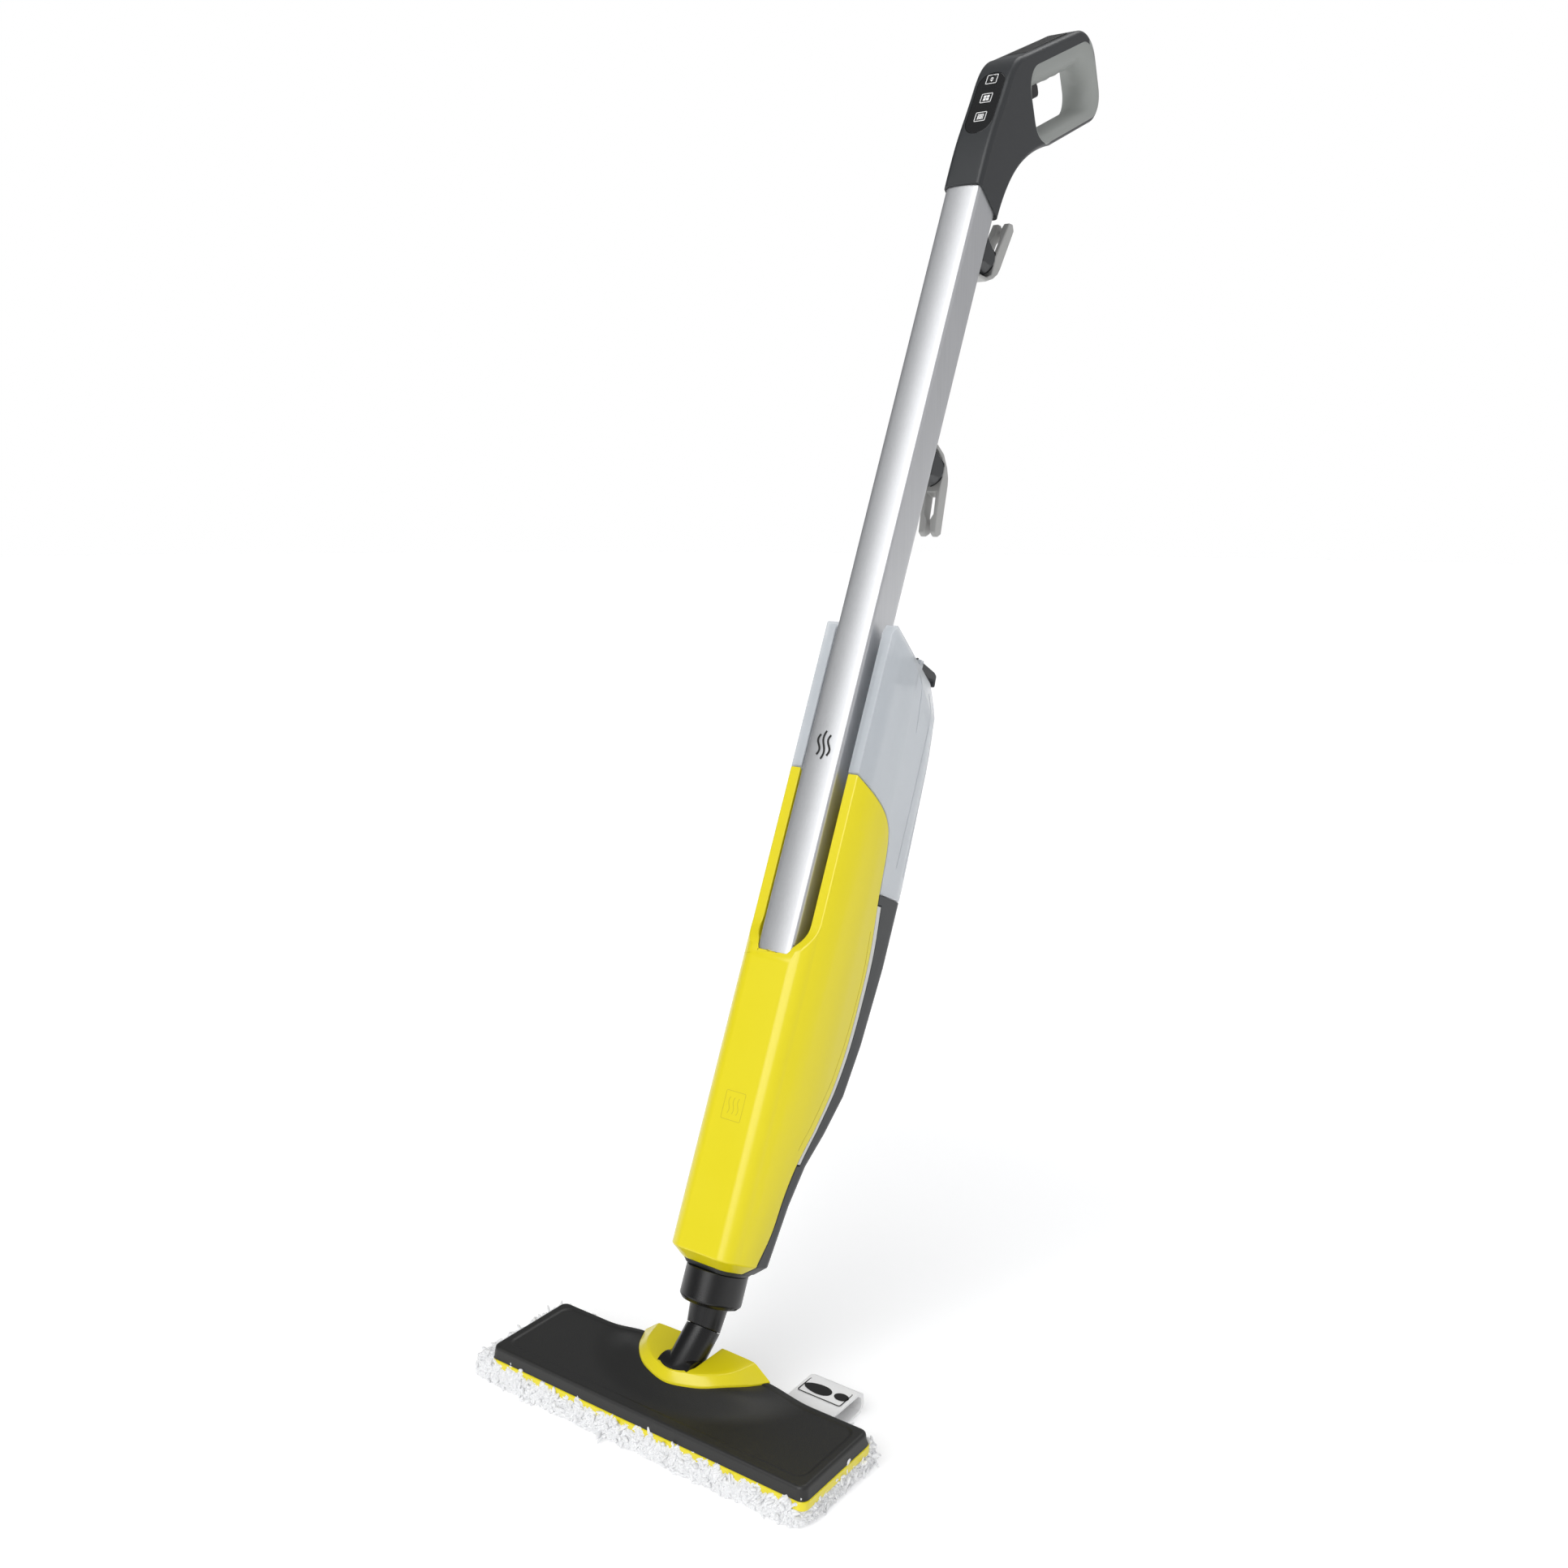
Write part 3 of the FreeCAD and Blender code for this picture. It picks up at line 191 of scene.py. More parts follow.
def white_room():
    """Light that grows from one side of the room to the other, seen by the camera as plain white."""
    room = bpy.data.worlds.new("white_room")
    bpy.context.scene.world = room
    room.use_nodes = True
    sky = room.node_tree
    ray, sight, turned, spread, fade, shown = (sky.nodes.new("ShaderNode" + kind) for kind in (
        "LightPath", "TexCoord", "Mapping", "TexGradient", "Mix", "Mix"))
    turned.inputs["Rotation"].default_value = (0, 0, math.radians(-20))
    turned.inputs["Location"].default_value = (0.35, 0, 0)
    fade.data_type = shown.data_type = "RGBA"
    fade.inputs[6].default_value, fade.inputs[7].default_value = ROOM_DIM, ROOM_BRIGHT
    shown.inputs[7].default_value = WHITE
    sky.links.new(sight.outputs["Generated"], turned.inputs["Vector"])
    sky.links.new(turned.outputs[0], spread.inputs[0])
    sky.links.new(spread.outputs["Fac"], fade.inputs[0])
    sky.links.new(ray.outputs["Is Camera Ray"], shown.inputs[0])
    sky.links.new(fade.outputs[2], shown.inputs[6])
    sky.links.new(shown.outputs[2], sky.nodes["Background"].inputs["Color"])


white_room()
bpy.ops.mesh.primitive_circle_add(vertices=96, radius=FLOOR_RADIUS, fill_type="NGON",
                                  location=(0, 0, -0.0002))
floor = bpy.context.active_object
floor.name = "studio_floor"
floor_paint = Paint("floor_paper", {"Base Color": FLOOR_GREY, "Roughness": 0.8, "Specular IOR Level": 0.2,
                                    "Emission Color": WHITE, "Emission Strength": FLOOR_GLOW})
floor.data.materials.append(floor_paint.material)


# ------------------------------------------------------------------ moulded black floor head
# The head's top is one black moulding with a fine grained face, screwed to a yellow base plate.
# It swells into a hump round the neck, and a shallow panel line runs round its flat top.
def moulding(name, colour, roughness, grain_depth, grain_size, coat=0.0, uneven=0.06):
    """Moulded plastic: a fine grain in relief, soft unevenness of shade and of gloss."""
    paint = Paint(name, {"Coat Weight": coat, "Coat Roughness": 0.12, "Specular IOR Level": 0.5})
    cloud = paint.noise(22.0, 4.0)
    fine = paint.noise(1.0 / grain_size, 2.0)
    paint.to("Base Color", paint.mix(cloud, darker(colour, 1 - uneven), darker(colour, 1 + uneven)))
    paint.to("Roughness", roughness + (cloud - 0.5) * 0.12 + (fine - 0.5) * 0.05)
    paint.to("Normal", paint.bump(fine, grain_depth))
    return paint.material


def alone(piece):
    """Leaves only this piece selected and active."""
    bpy.ops.object.select_all(action="DESELECT")
    piece.select_set(True)
    bpy.context.view_layer.objects.active = piece


def smoothed(piece, angle=35.0, weighted=True):
    alone(piece)
    bpy.ops.object.shade_smooth_by_angle(angle=math.radians(angle))
    if weighted:
        piece.modifiers.new("even_shading", "WEIGHTED_NORMAL").keep_sharp = True


def applied(piece):
    alone(piece)
    for modifier in list(piece.modifiers):
        bpy.ops.object.modifier_apply(modifier=modifier.name)


def outward(piece):
    """Turns all faces of a closed piece outwards."""
    alone(piece)
    bpy.ops.object.mode_set(mode="EDIT")
    bpy.ops.mesh.select_all(action="SELECT")
    bpy.ops.mesh.normals_make_consistent(inside=False)
    bpy.ops.object.mode_set(mode="OBJECT")


def belongs(piece, node):
    """The piece stands for the CAD node and rides with it."""
    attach(piece, body_of[node])
    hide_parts(node)
    return piece


def painted(node, material):
    """Keeps the CAD node as it is and gives it a finish."""
    nodes[node].data.materials.clear()
    nodes[node].data.materials.append(material)


def eased(node, material, bevel=0.0, angle=35.0):
    """A welded copy of a CAD piece with its sharp edges eased, which then stands for it."""
    mesh = nodes[node].data.copy()
    piece = bpy.data.objects.new(node + "_finished", mesh)
    bpy.context.scene.collection.objects.link(piece)
    alone(piece)
    bpy.ops.mesh.customdata_custom_splitnormals_clear()
    bpy.ops.object.mode_set(mode="EDIT")
    bpy.ops.mesh.select_all(action="SELECT")
    bpy.ops.mesh.remove_doubles(threshold=0.00002)
    if bevel:
        bpy.ops.mesh.dissolve_limited(angle_limit=math.radians(1.2))
    bpy.ops.object.mode_set(mode="OBJECT")
    mesh.materials.clear()
    mesh.materials.append(material)
    if bevel:
        ease = piece.modifiers.new("eased_edges", "BEVEL")
        ease.width, ease.segments, ease.limit_method = bevel, 2, "ANGLE"
        ease.angle_limit, ease.use_clamp_overlap = math.radians(38), False
    smoothed(piece, angle)
    applied(piece)
    return belongs(piece, node)


def from_lists(name, points, faces, material):
    mesh = bpy.data.meshes.new(name)
    mesh.from_pydata(points, [], faces)
    mesh.materials.append(material)
    piece = bpy.data.objects.new(name, mesh)
    bpy.context.scene.collection.objects.link(piece)
    return piece


def step(value):
    """Smooth step from 0 to 1."""
    value = min(max(value, 0.0), 1.0)
    return value * value * (3 - 2 * value)


def corner_drawn_in(x, y, half_x, half_y, corner):
    """Moves a point of a square grid so that the grid's corner becomes a quarter circle."""
    over = Vector((max(abs(x) - (half_x - corner), 0), max(abs(y) - (half_y - corner), 0)))
    if over.length > 0:
        over *= max(over) / over.length
    if over.x:
        x = math.copysign(half_x - corner + over.x, x)
    if over.y:
        y = math.copysign(half_y - corner + over.y, y)
    return x, y


black_grain = moulding("black_grained_plastic", tone(33, 33, 32), 0.42, 0.00009, 0.00075, uneven=0.05)
yellow_gloss = moulding("yellow_gloss_plastic", tone(226, 211, 18), 0.32, 0.000008, 0.0012, coat=0.25,
                        uneven=0.012)

_, head_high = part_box("nozzle_top_shell")
HALF_X, HALF_Y = head_high[0] - 0.0015, head_high[1] - 0.0015
HEAD_CORNER, ROUND_OVER, FLAT_TOP = 0.006, 0.0028, 0.0306
HUMP_WIDE, HUMP_DEEP, HUMP_REAR = 0.097, 0.071, 0.040
HUMP_TALL, HUMP_SINKS = 0.0094, 0.0046
PANEL_HALF, PANEL_FRONT, PANEL_REAR, PANEL_CORNER = 0.1345, -0.0305, 0.0335, 0.008
PANEL_DEEP, PANEL_SLOPE = 0.0007, 0.0011


def hump(x, y):
    """Height of the black hump round the neck above the flat top."""
    reach = math.hypot(x / HUMP_WIDE, (HUMP_REAR - y) / HUMP_DEEP)
    tall = HUMP_TALL - HUMP_SINKS * step((y - 0.004) / 0.034)  # lower towards the rear edge
    return tall * step((1.0 - reach) / 0.43) ** 1.25


def panel_line(x, y):
    """Depth of the shallow panel on the flat top, rounded at its corners."""
    off_x = abs(x) - (PANEL_HALF - PANEL_CORNER)
    off_y = abs(y - (PANEL_FRONT + PANEL_REAR) / 2) - ((PANEL_REAR - PANEL_FRONT) / 2 - PANEL_CORNER)
    edge = math.hypot(max(off_x, 0), max(off_y, 0)) + min(max(off_x, off_y), 0) - PANEL_CORNER
    return PANEL_DEEP * step(-edge / PANEL_SLOPE)


def head_top(x, y):
    """Height of the moulding's face, with its rim rounded over."""
    off_x, off_y = abs(x) - (HALF_X - HEAD_CORNER), abs(y) - (HALF_Y - HEAD_CORNER)
    inside = HEAD_CORNER - math.hypot(max(off_x, 0), max(off_y, 0)) - min(max(off_x, off_y), 0)
    drop = max(ROUND_OVER - inside, 0.0)
    rounding = ROUND_OVER - math.sqrt(max(ROUND_OVER ** 2 - drop ** 2, 0))
    return FLAT_TOP + hump(x, y) - panel_line(x, y) - rounding


def crowded(place, half, power):
    """Spreads grid lines from -1..1 over a half width, closer together towards the rim."""
    return half * math.copysign(1 - (1 - abs(place)) ** power, place)


bpy.ops.mesh.primitive_grid_add(x_subdivisions=330, y_subdivisions=92, size=2)
head_shell = bpy.context.active_object
head_shell.name = "head_top_moulding"
for vertex in head_shell.data.vertices:
    x, y = crowded(vertex.co.x, HALF_X, 1.12), crowded(vertex.co.y, HALF_Y, 1.25)
    x, y = corner_drawn_in(x, y, HALF_X, HALF_Y, HEAD_CORNER)
    vertex.co = (x, y, head_top(x, y))
alone(head_shell)
bpy.ops.object.mode_set(mode="EDIT")
bpy.ops.mesh.select_all(action="DESELECT")
bpy.ops.mesh.select_non_manifold()
for drop, spread in ((0.0042, 1.003), (0.0021, 1.005)):
    bpy.ops.mesh.extrude_region_move(TRANSFORM_OT_translate={"value": (0, 0, -drop)})
    bpy.ops.transform.resize(value=(spread, 1 + (spread - 1) * 3.6, 1), center_override=(0, 0, 0))
bpy.ops.mesh.extrude_region_move(TRANSFORM_OT_translate={"value": (0, 0, -0.0004)})
bpy.ops.transform.resize(value=(0.975, 0.93, 1), center_override=(0, 0, 0))
bpy.ops.mesh.extrude_region_move(TRANSFORM_OT_translate={"value": (0, 0, 0.006)})
bpy.ops.mesh.edge_face_add()
bpy.ops.mesh.select_all(action="SELECT")
bpy.ops.mesh.normals_make_consistent(inside=False)
bpy.ops.object.mode_set(mode="OBJECT")
head_shell.data.materials.append(black_grain)

SLOT_HALF, SLOT_Y, SLOT_FLOOR = 0.0141, 0.0107, 0.0222


def slot_cutter(low, high):
    """Tool in the shape of the neck's slot: round in front, open to the rear."""
    bpy.ops.mesh.primitive_cylinder_add(vertices=64, radius=SLOT_HALF, depth=high - low,
                                        location=(0, SLOT_Y, (low + high) / 2))
    tool = bpy.context.active_object
    bpy.ops.object.mode_set(mode="EDIT")
    bpy.ops.mesh.select_all(action="SELECT")
    bpy.ops.mesh.bisect(plane_co=(0, SLOT_Y, 0), plane_no=(0, 1, 0), clear_outer=True)
    bpy.ops.mesh.extrude_region_move(TRANSFORM_OT_translate={"value": (0, 0.06, 0)})
    bpy.ops.mesh.edge_face_add()
    bpy.ops.mesh.select_all(action="SELECT")
    bpy.ops.mesh.normals_make_consistent(inside=False)
    bpy.ops.object.mode_set(mode="OBJECT")
    return tool


def carved(piece, tool):
    hole = piece.modifiers.new("carved", "BOOLEAN")
    hole.object, hole.operation, hole.solver = tool, "DIFFERENCE", "EXACT"
    applied(piece)
    bpy.data.objects.remove(tool)


carved(head_shell, slot_cutter(SLOT_FLOOR, 0.07))
smoothed(head_shell, 40, weighted=False)
belongs(head_shell, "nozzle_top_shell")

eased("nozzle_base_plate", yellow_gloss, bevel=0.0008)


# ------------------------------------------------------------------ yellow saddle round the neck
# A yellow moulded collar snaps over the hump. It has a level crown round the neck's slot and a
# bevelled skirt that widens to a tip on each side at the rear.
def through(points, count):
    """Points spread along a smooth curve through the given ones."""
    padded = [points[0] * 2 - points[1]] + points + [points[-1] * 2 - points[-2]]
    drawn = []
    for number in range(count + 1):
        along = number / count * (len(points) - 1)
        k = min(int(along), len(points) - 2)
        t = along - k
        a, b, c, d = padded[k:k + 4]
        square, cube = 2 * a - 5 * b + 4 * c - d, 3 * b - a - 3 * c + d
        drawn.append(0.5 * ((2 * b) + (c - a) * t + square * t ** 2 + cube * t ** 3))
    return drawn


def both_sides(half):
    """A half outline from the front middle to the rear right, carried on to the rear left."""
    return [Vector((-x, y, z)) for x, y, z in reversed(half[1:])] + half


SADDLE_REAR, SADDLE_SLOT, ACROSS = 0.0384, 0.0143, 80
BROW, LIP, SADDLE_FOOT = 0.0457, 0.0463, 0.031
skirt_half = ((0, -8, 0), (20, -3.5, 0), (34, 4.6, 0), (47, 19, 0), (58, 38.4, 0))
crown_half = ((0, -4.4, 0), (15, -1.2, 0), (29, 7.5, 0), (39, 20, 0), (44.5, 38.4, 0))
skirt = through(both_sides([Vector(p) * MM for p in skirt_half]), ACROSS)
crown = through(both_sides([Vector(p) * MM for p in crown_half]), ACROSS)


def slot_edge(number):
    """Point of the slot's edge: a half circle in front, a straight run back on each side."""
    turn = math.pi * (number / ACROSS * 1.9 - 0.45)
    if 0 <= turn <= math.pi:
        return Vector((-math.cos(turn) * SADDLE_SLOT, SLOT_Y - math.sin(turn) * SADDLE_SLOT, 0))
    beyond = (-turn if turn < 0 else turn - math.pi) / (0.45 * math.pi)
    side = -1 if turn < 0 else 1
    return Vector((side * SADDLE_SLOT, SLOT_Y + (SADDLE_REAR - SLOT_Y) * beyond, 0))


def lifted(point, height):
    return point + Vector((0, 0, height))


saddle_rows = []
for number, (foot, brow) in enumerate(zip(skirt, crown)):
    lip = slot_edge(number)
    seat = FLAT_TOP + hump(foot.x, foot.y)
    inward = (lip - brow).normalized()
    saddle_rows.append([lifted(foot, seat - 0.004), lifted(foot, seat + 0.0004),
                        lifted(foot.lerp(brow, 0.08), seat + 0.0013),
                        lifted(foot.lerp(brow, 0.9), BROW - 0.0008),
                        lifted(brow + inward * 0.0006, BROW), lifted(brow.lerp(lip, 0.2), BROW + 0.0004),
                        lifted(brow.lerp(lip, 0.8), LIP + 0.0001), lifted(lip - inward * 0.0012, LIP),
                        lifted(lip - inward * 0.0003, LIP - 0.0005), lifted(lip, LIP - 0.0015),
                        lifted(lip, SADDLE_FOOT)])
ring = len(saddle_rows[0])
saddle_points = [p for row in saddle_rows for p in row]
saddle_faces = [(a * ring + b, (a + 1) * ring + b, (a + 1) * ring + b + 1, a * ring + b + 1)
                for a in range(ACROSS) for b in range(ring - 1)]
saddle_faces += [tuple(range(ring)), tuple(ACROSS * ring + b for b in reversed(range(ring)))]
saddle_faces += [(a * ring, a * ring + ring - 1, (a + 1) * ring + ring - 1, (a + 1) * ring)
                 for a in range(ACROSS)]
saddle = from_lists("saddle_collar", saddle_points, saddle_faces, yellow_gloss)
smoothed(saddle, 38)
applied(saddle)
belongs(saddle, "saddle_cover")

# ------------------------------------------------------------------ soles, screws and steam spreader
# Under the base plate a grey lamella sole spreads the steam and two strips grip the cloth.
# Four screws hold the plate, and a white spreader carries the steam along the inside.
sole_rubber = moulding("grey_sole_rubber", tone(120, 120, 120), 0.7, 0.00003, 0.0009)
hook_strip = moulding("black_hook_strip", tone(24, 24, 24), 0.85, 0.0004, 0.0009)
white_inner = moulding("white_inner_plastic", tone(214, 213, 208), 0.5, 0.00001, 0.001)


def metal(name, colour, roughness, scale=(900.0, 900.0, 60.0)):
    """Bare metal with fine drawing marks along its length."""
    paint = Paint(name, {"Metallic": 1.0})
    marks = paint.noise(1.0, 3.0, paint.stretched(*scale))
    paint.to("Base Color", paint.mix(marks, darker(colour, 0.9), colour))
    paint.to("Roughness", roughness + marks * 0.14)
    paint.to("Normal", paint.bump(marks, 0.000012))
    return paint.material


screw_steel = metal("screw_steel", tone(180, 182, 184), 0.3)
painted("lamella_sole", sole_rubber)
painted("grip_strips", hook_strip)
painted("steam_spreader", white_inner)
painted("head_screws", screw_steel)
painted("tilt_pin", screw_steel)


# ------------------------------------------------------------------ shaggy floor cloth
# A flat microfibre cloth 314 by 106 mm clings under the head. Its loose pile of short curly
# tufts stands out all round the head and covers the underside.
def cloth_fibre(name, bright, dull):
    paint = Paint(name, {"Roughness": 0.95, "Specular IOR Level": 0.15, "Sheen Weight": 0.35,
                         "Sheen Roughness": 0.5, "Subsurface Weight": 0.12,
                         "Subsurface Radius": (0.004, 0.004, 0.004), "Subsurface Scale": 0.5})
    fluff = paint.noise(420.0, 4.0)
    strands = paint.noise(2600.0, 2.0)
    paint.to("Base Color", paint.mix(fluff ** 1.3, dull, bright))
    paint.to("Normal", paint.bump(strands * 0.6 + fluff * 0.4, 0.0006))
    return paint.material


pile_white = cloth_fibre("white_microfibre", tone(253, 253, 253), tone(234, 235, 237))
(cloth_x0, cloth_y0, _), (cloth_x1, cloth_y1, _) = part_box("floor_cloth")
CLOTH_BACK, CLOTH_THICK, CLOTH_CORNER = 0.0085, 0.0018, 0.014
INSET = 0.009  # the pile stands out this far past the woven back
bpy.ops.mesh.primitive_grid_add(x_subdivisions=120, y_subdivisions=42, size=2)
cloth = bpy.context.active_object
cloth.name = "floor_cloth_fabric"
rng = random.Random(7)
middle_x, middle_y = (cloth_x0 + cloth_x1) / 2, (cloth_y0 + cloth_y1) / 2
half_x, half_y = (cloth_x1 - cloth_x0) / 2 - INSET, (cloth_y1 - cloth_y0) / 2 - INSET
for vertex in cloth.data.vertices:
    x, y = corner_drawn_in(vertex.co.x * half_x, vertex.co.y * half_y, half_x, half_y, CLOTH_CORNER)
    edge = step((max(abs(x) - half_x, abs(y) - half_y) + 0.02) / 0.02)
    wave = 0.0016 * edge * math.sin(x * 110 + y * 60)
    vertex.co = (middle_x + x, middle_y + y, CLOTH_BACK + wave)
thick = cloth.modifiers.new("cloth_back", "SOLIDIFY")
thick.thickness, thick.offset = CLOTH_THICK, 0
smoothed(cloth, 60, weighted=False)
applied(cloth)
cloth.data.materials.append(pile_white)
belongs(cloth, "floor_cloth")


def tufts(name, roots, sides, rings, radius, reach):
    """Curly tapered tufts from (root, direction) pairs, as one mesh."""
    points, faces = [], []
    for root, way in roots:
        length, thickness = reach * rng.uniform(0.75, 1.2), radius * rng.uniform(0.75, 1.25)
        way = (way + Vector([rng.gauss(0, 0.5) for _ in range(3)])).normalized()
        aside = way.orthogonal().normalized()
        aside.rotate(Matrix.Rotation(rng.uniform(0, 2 * math.pi), 3, way))
        curl, sweep = rng.uniform(0.15, 0.5), rng.uniform(1.6, 3.4)
        start = len(points)
        for k in range(rings):
            t = k / (rings - 1)
            middle = root + way * (length * t) + aside * (length * curl * (1 - math.cos(sweep * t)) * 0.5)
            middle.z = max(middle.z, thickness)
            wide = thickness * (1.0 if k < rings - 1 else 0.55) * (0.85 + 0.3 * math.sin(3 * t))
            cross = way.cross(aside)
            for s in range(sides):
                angle = 2 * math.pi * s / sides
                points.append(middle + (aside * math.cos(angle) + cross * math.sin(angle)) * wide)
        for k in range(rings - 1):
            for s in range(sides):
                a, b = start + k * sides + s, start + k * sides + (s + 1) % sides
                faces.append((a, b, b + sides, a + sides))
        faces.append(tuple(start + (rings - 1) * sides + s for s in range(sides)))
        faces.append(tuple(start + s for s in reversed(range(sides))))
    piece = from_lists(name, points, faces, pile_white)
    smoothed(piece, 80, weighted=False)
    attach(piece, "floor_head")
    return piece


PLATE_X, PLATE_Y, PLATE_INSET = 0.1431, 0.0405, 0.004
AROUND, BED_INSET, BED_CORNER = 520, 0.0035, 0.017
TUFT_COUNT, TUFT_RADIUS, TUFT_REACH = 3900, 0.00115, 0.0055


def rim_outline(x0, y0, x1, y1, corner, number):
    """Point at one place round a round-cornered rectangle."""
    turn = (math.pi / 2 * corner, 1)
    runs = ((x1 - x0 - 2 * corner, 0), turn, (y1 - y0 - 2 * corner, 0), turn)
    left = number / AROUND * 2 * sum(length for length, _ in runs)
    place, heading = Vector((x0 + corner, y0)), 0.0
    for length, turning in runs + runs:
        gone = min(left, length)
        if turning:
            hub = place + Vector((-math.sin(heading), math.cos(heading))) * corner
            heading += gone / corner
            place = hub + Vector((math.sin(heading), -math.cos(heading))) * corner
        else:
            place = place + Vector((math.cos(heading), math.sin(heading))) * gone
        left -= gone
        if left <= 0:
            break
    return place


# share of the way out from the plate's edge, and height
RIM_PROFILE = ((0.0, 0.0025), (0.45, 0.0015), (0.85, 0.0025), (1.0, 0.0062), (0.93, 0.0102), (0.74, 0.0148),
               (0.48, 0.0178), (0.2, 0.0190), (0.0, 0.0186))


def within(value, limit):
    return min(max(value, -limit), limit)


bed_rings = []
for number in range(AROUND):
    outer = rim_outline(cloth_x0 + BED_INSET, cloth_y0 + BED_INSET,
                        cloth_x1 - BED_INSET, cloth_y1 - BED_INSET, BED_CORNER, number)
    inner = Vector((within(outer.x, PLATE_X - PLATE_INSET), within(outer.y, PLATE_Y - PLATE_INSET)))
    puff = 1 + 0.1 * math.sin(number * 0.83) + 0.08 * math.sin(number * 0.31 + 1)
    bed_rings.append([inner.lerp(outer, reach).to_3d() + Vector((0, 0, tall * (puff if tall > 0.005 else 1)))
                      for reach, tall in RIM_PROFILE])
wide = len(RIM_PROFILE)
bed_faces = []
for k in range(AROUND):
    here, ahead = k * wide, (k + 1) % AROUND * wide
    for j in range(wide):
        beside = (j + 1) % wide
        bed_faces.append((ahead + j, here + j, here + beside, ahead + beside))
pile_bed = from_lists("cloth_pile_bed", [p for row in bed_rings for p in row], bed_faces, pile_white)
smoothed(pile_bed, 80, weighted=False)
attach(pile_bed, "floor_head")


def rim_root():
    """A random root on the bed of the rim, with the way its tuft stands."""
    row, col = rng.randrange(AROUND), rng.randrange(2, wide - 2)
    # the rear middle is left low, as room for the tilted neck
    while abs(bed_rings[row][0].x) < 0.026 and bed_rings[row][0].y > 0.02 and col > 3:
        row, col = rng.randrange(AROUND), rng.randrange(2, wide - 2)
    now, ahead, across = bed_rings[row], bed_rings[(row + 1) % AROUND], rng.random()
    here, there = now[col].lerp(now[col + 1], across), ahead[col].lerp(ahead[col + 1], across)
    way = (now[col + 1] - now[col]).cross(ahead[col] - now[col]).normalized()
    return here.lerp(there, rng.random()) - way * 0.0008, way


for batch in ("first", "second"):
    roots = [rim_root() for _ in range(TUFT_COUNT)]
    tufts("cloth_pile_" + batch, roots, 6, 4, TUFT_RADIUS, TUFT_REACH)
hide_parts("cloth_pile_edge")
UNDER_COUNT, UNDER_INSET, UNDER_SKIN = 1500, 0.016, 0.0074
under_roots = []
for number in range(UNDER_COUNT):
    x = rng.uniform(cloth_x0 + UNDER_INSET, cloth_x1 - UNDER_INSET)
    y = rng.uniform(cloth_y0 + UNDER_INSET, cloth_y1 - UNDER_INSET)
    under_roots.append((Vector((x, y, UNDER_SKIN)), Vector((0, 0, -1.0))))
tufts("cloth_pile_under", under_roots, 5, 4, 0.0019, 0.0062)

# A folded white strap is sewn to the cloth's rear edge as a foot tab. Its top is printed with the
# outline of a shoe sole, which shows where to step.
strap_white = moulding("white_strap_weave", tone(240, 240, 240), 0.8, 0.00012, 0.0009)
print_black = moulding("printed_black", tone(18, 18, 18), 0.6, 0.00001, 0.001)
eased("cloth_tab", strap_white, bevel=0.0005, angle=50)
TAB_TOP = 0.0201


def flat_shape(name, outline, lift, material, thickness=0.00025):
    """A thin printed or embossed shape: an outline in the XY plane, raised to its thickness."""
    points = [(x, y, lift) for x, y in outline] + [(x, y, lift + thickness) for x, y in outline]
    count = len(outline)
    faces = [tuple(range(count, 2 * count)), tuple(reversed(range(count)))]
    faces += [(k, (k + 1) % count, (k + 1) % count + count, k + count) for k in range(count)]
    return from_lists(name, points, faces, material)


def oval(centre, wide, deep, count=32, egg=0.0):
    turns = [2 * math.pi * k / count for k in range(count)]
    return [(centre[0] + math.cos(t) * wide, centre[1] + math.sin(t) * deep * (1 + egg * math.cos(t)))
            for t in turns]


def rounded_frame(centre, wide, deep, corner, line):
    """Two nested round-cornered outlines, outer and inner, as matching lists of points."""
    def outline(w, d, r):
        return [(centre[0] + sx * (w - r) + r * math.cos(t), centre[1] + sy * (d - r) + r * math.sin(t))
                for sx, sy, start in ((1, 1, 0), (-1, 1, 90), (-1, -1, 180), (1, -1, 270))
                for t in (math.radians(start + 22.5 * k) for k in range(5))]
    return outline(wide, deep, corner), outline(wide - line, deep - line, max(corner - line, 0.0002))


def frame_shape(name, centre, wide, deep, corner, line, lift, material, thickness=0.00025):
    """A thin raised line round a round-cornered rectangle."""
    outer, inner = rounded_frame(centre, wide, deep, corner, line)
    n = len(outer)
    points = [(x, y, z) for z in (lift, lift + thickness) for line_points in (outer, inner)
              for x, y in line_points]
    faces = []
    for k in range(n):
        m = (k + 1) % n
        faces += [(2 * n + k, 2 * n + m, 3 * n + m, 3 * n + k), (m, k, n + k, n + m),
                  (k, m, 2 * n + m, 2 * n + k), (n + m, n + k, 3 * n + k, 3 * n + m)]
    return from_lists(name, points, faces, material)


def joined(name, parts):
    """Makes one piece of several."""
    bpy.ops.object.select_all(action="DESELECT")
    for part in parts:
        part.select_set(True)
    bpy.context.view_layer.objects.active = parts[0]
    bpy.ops.object.join()
    parts[0].name = name
    return parts[0]


sole_print = joined("tab_sole_print", [
    flat_shape("sole_toe", oval((0.0768, 0.0716), 0.0115, 0.0055, egg=0.18), TAB_TOP, print_black),
    flat_shape("sole_heel", oval((0.0962, 0.0728), 0.0058, 0.0042), TAB_TOP, print_black),
    frame_shape("sole_frame", (0.083, 0.0716), 0.0185, 0.0092, 0.002, 0.0007, TAB_TOP, print_black)])
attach(sole_print, "floor_head")

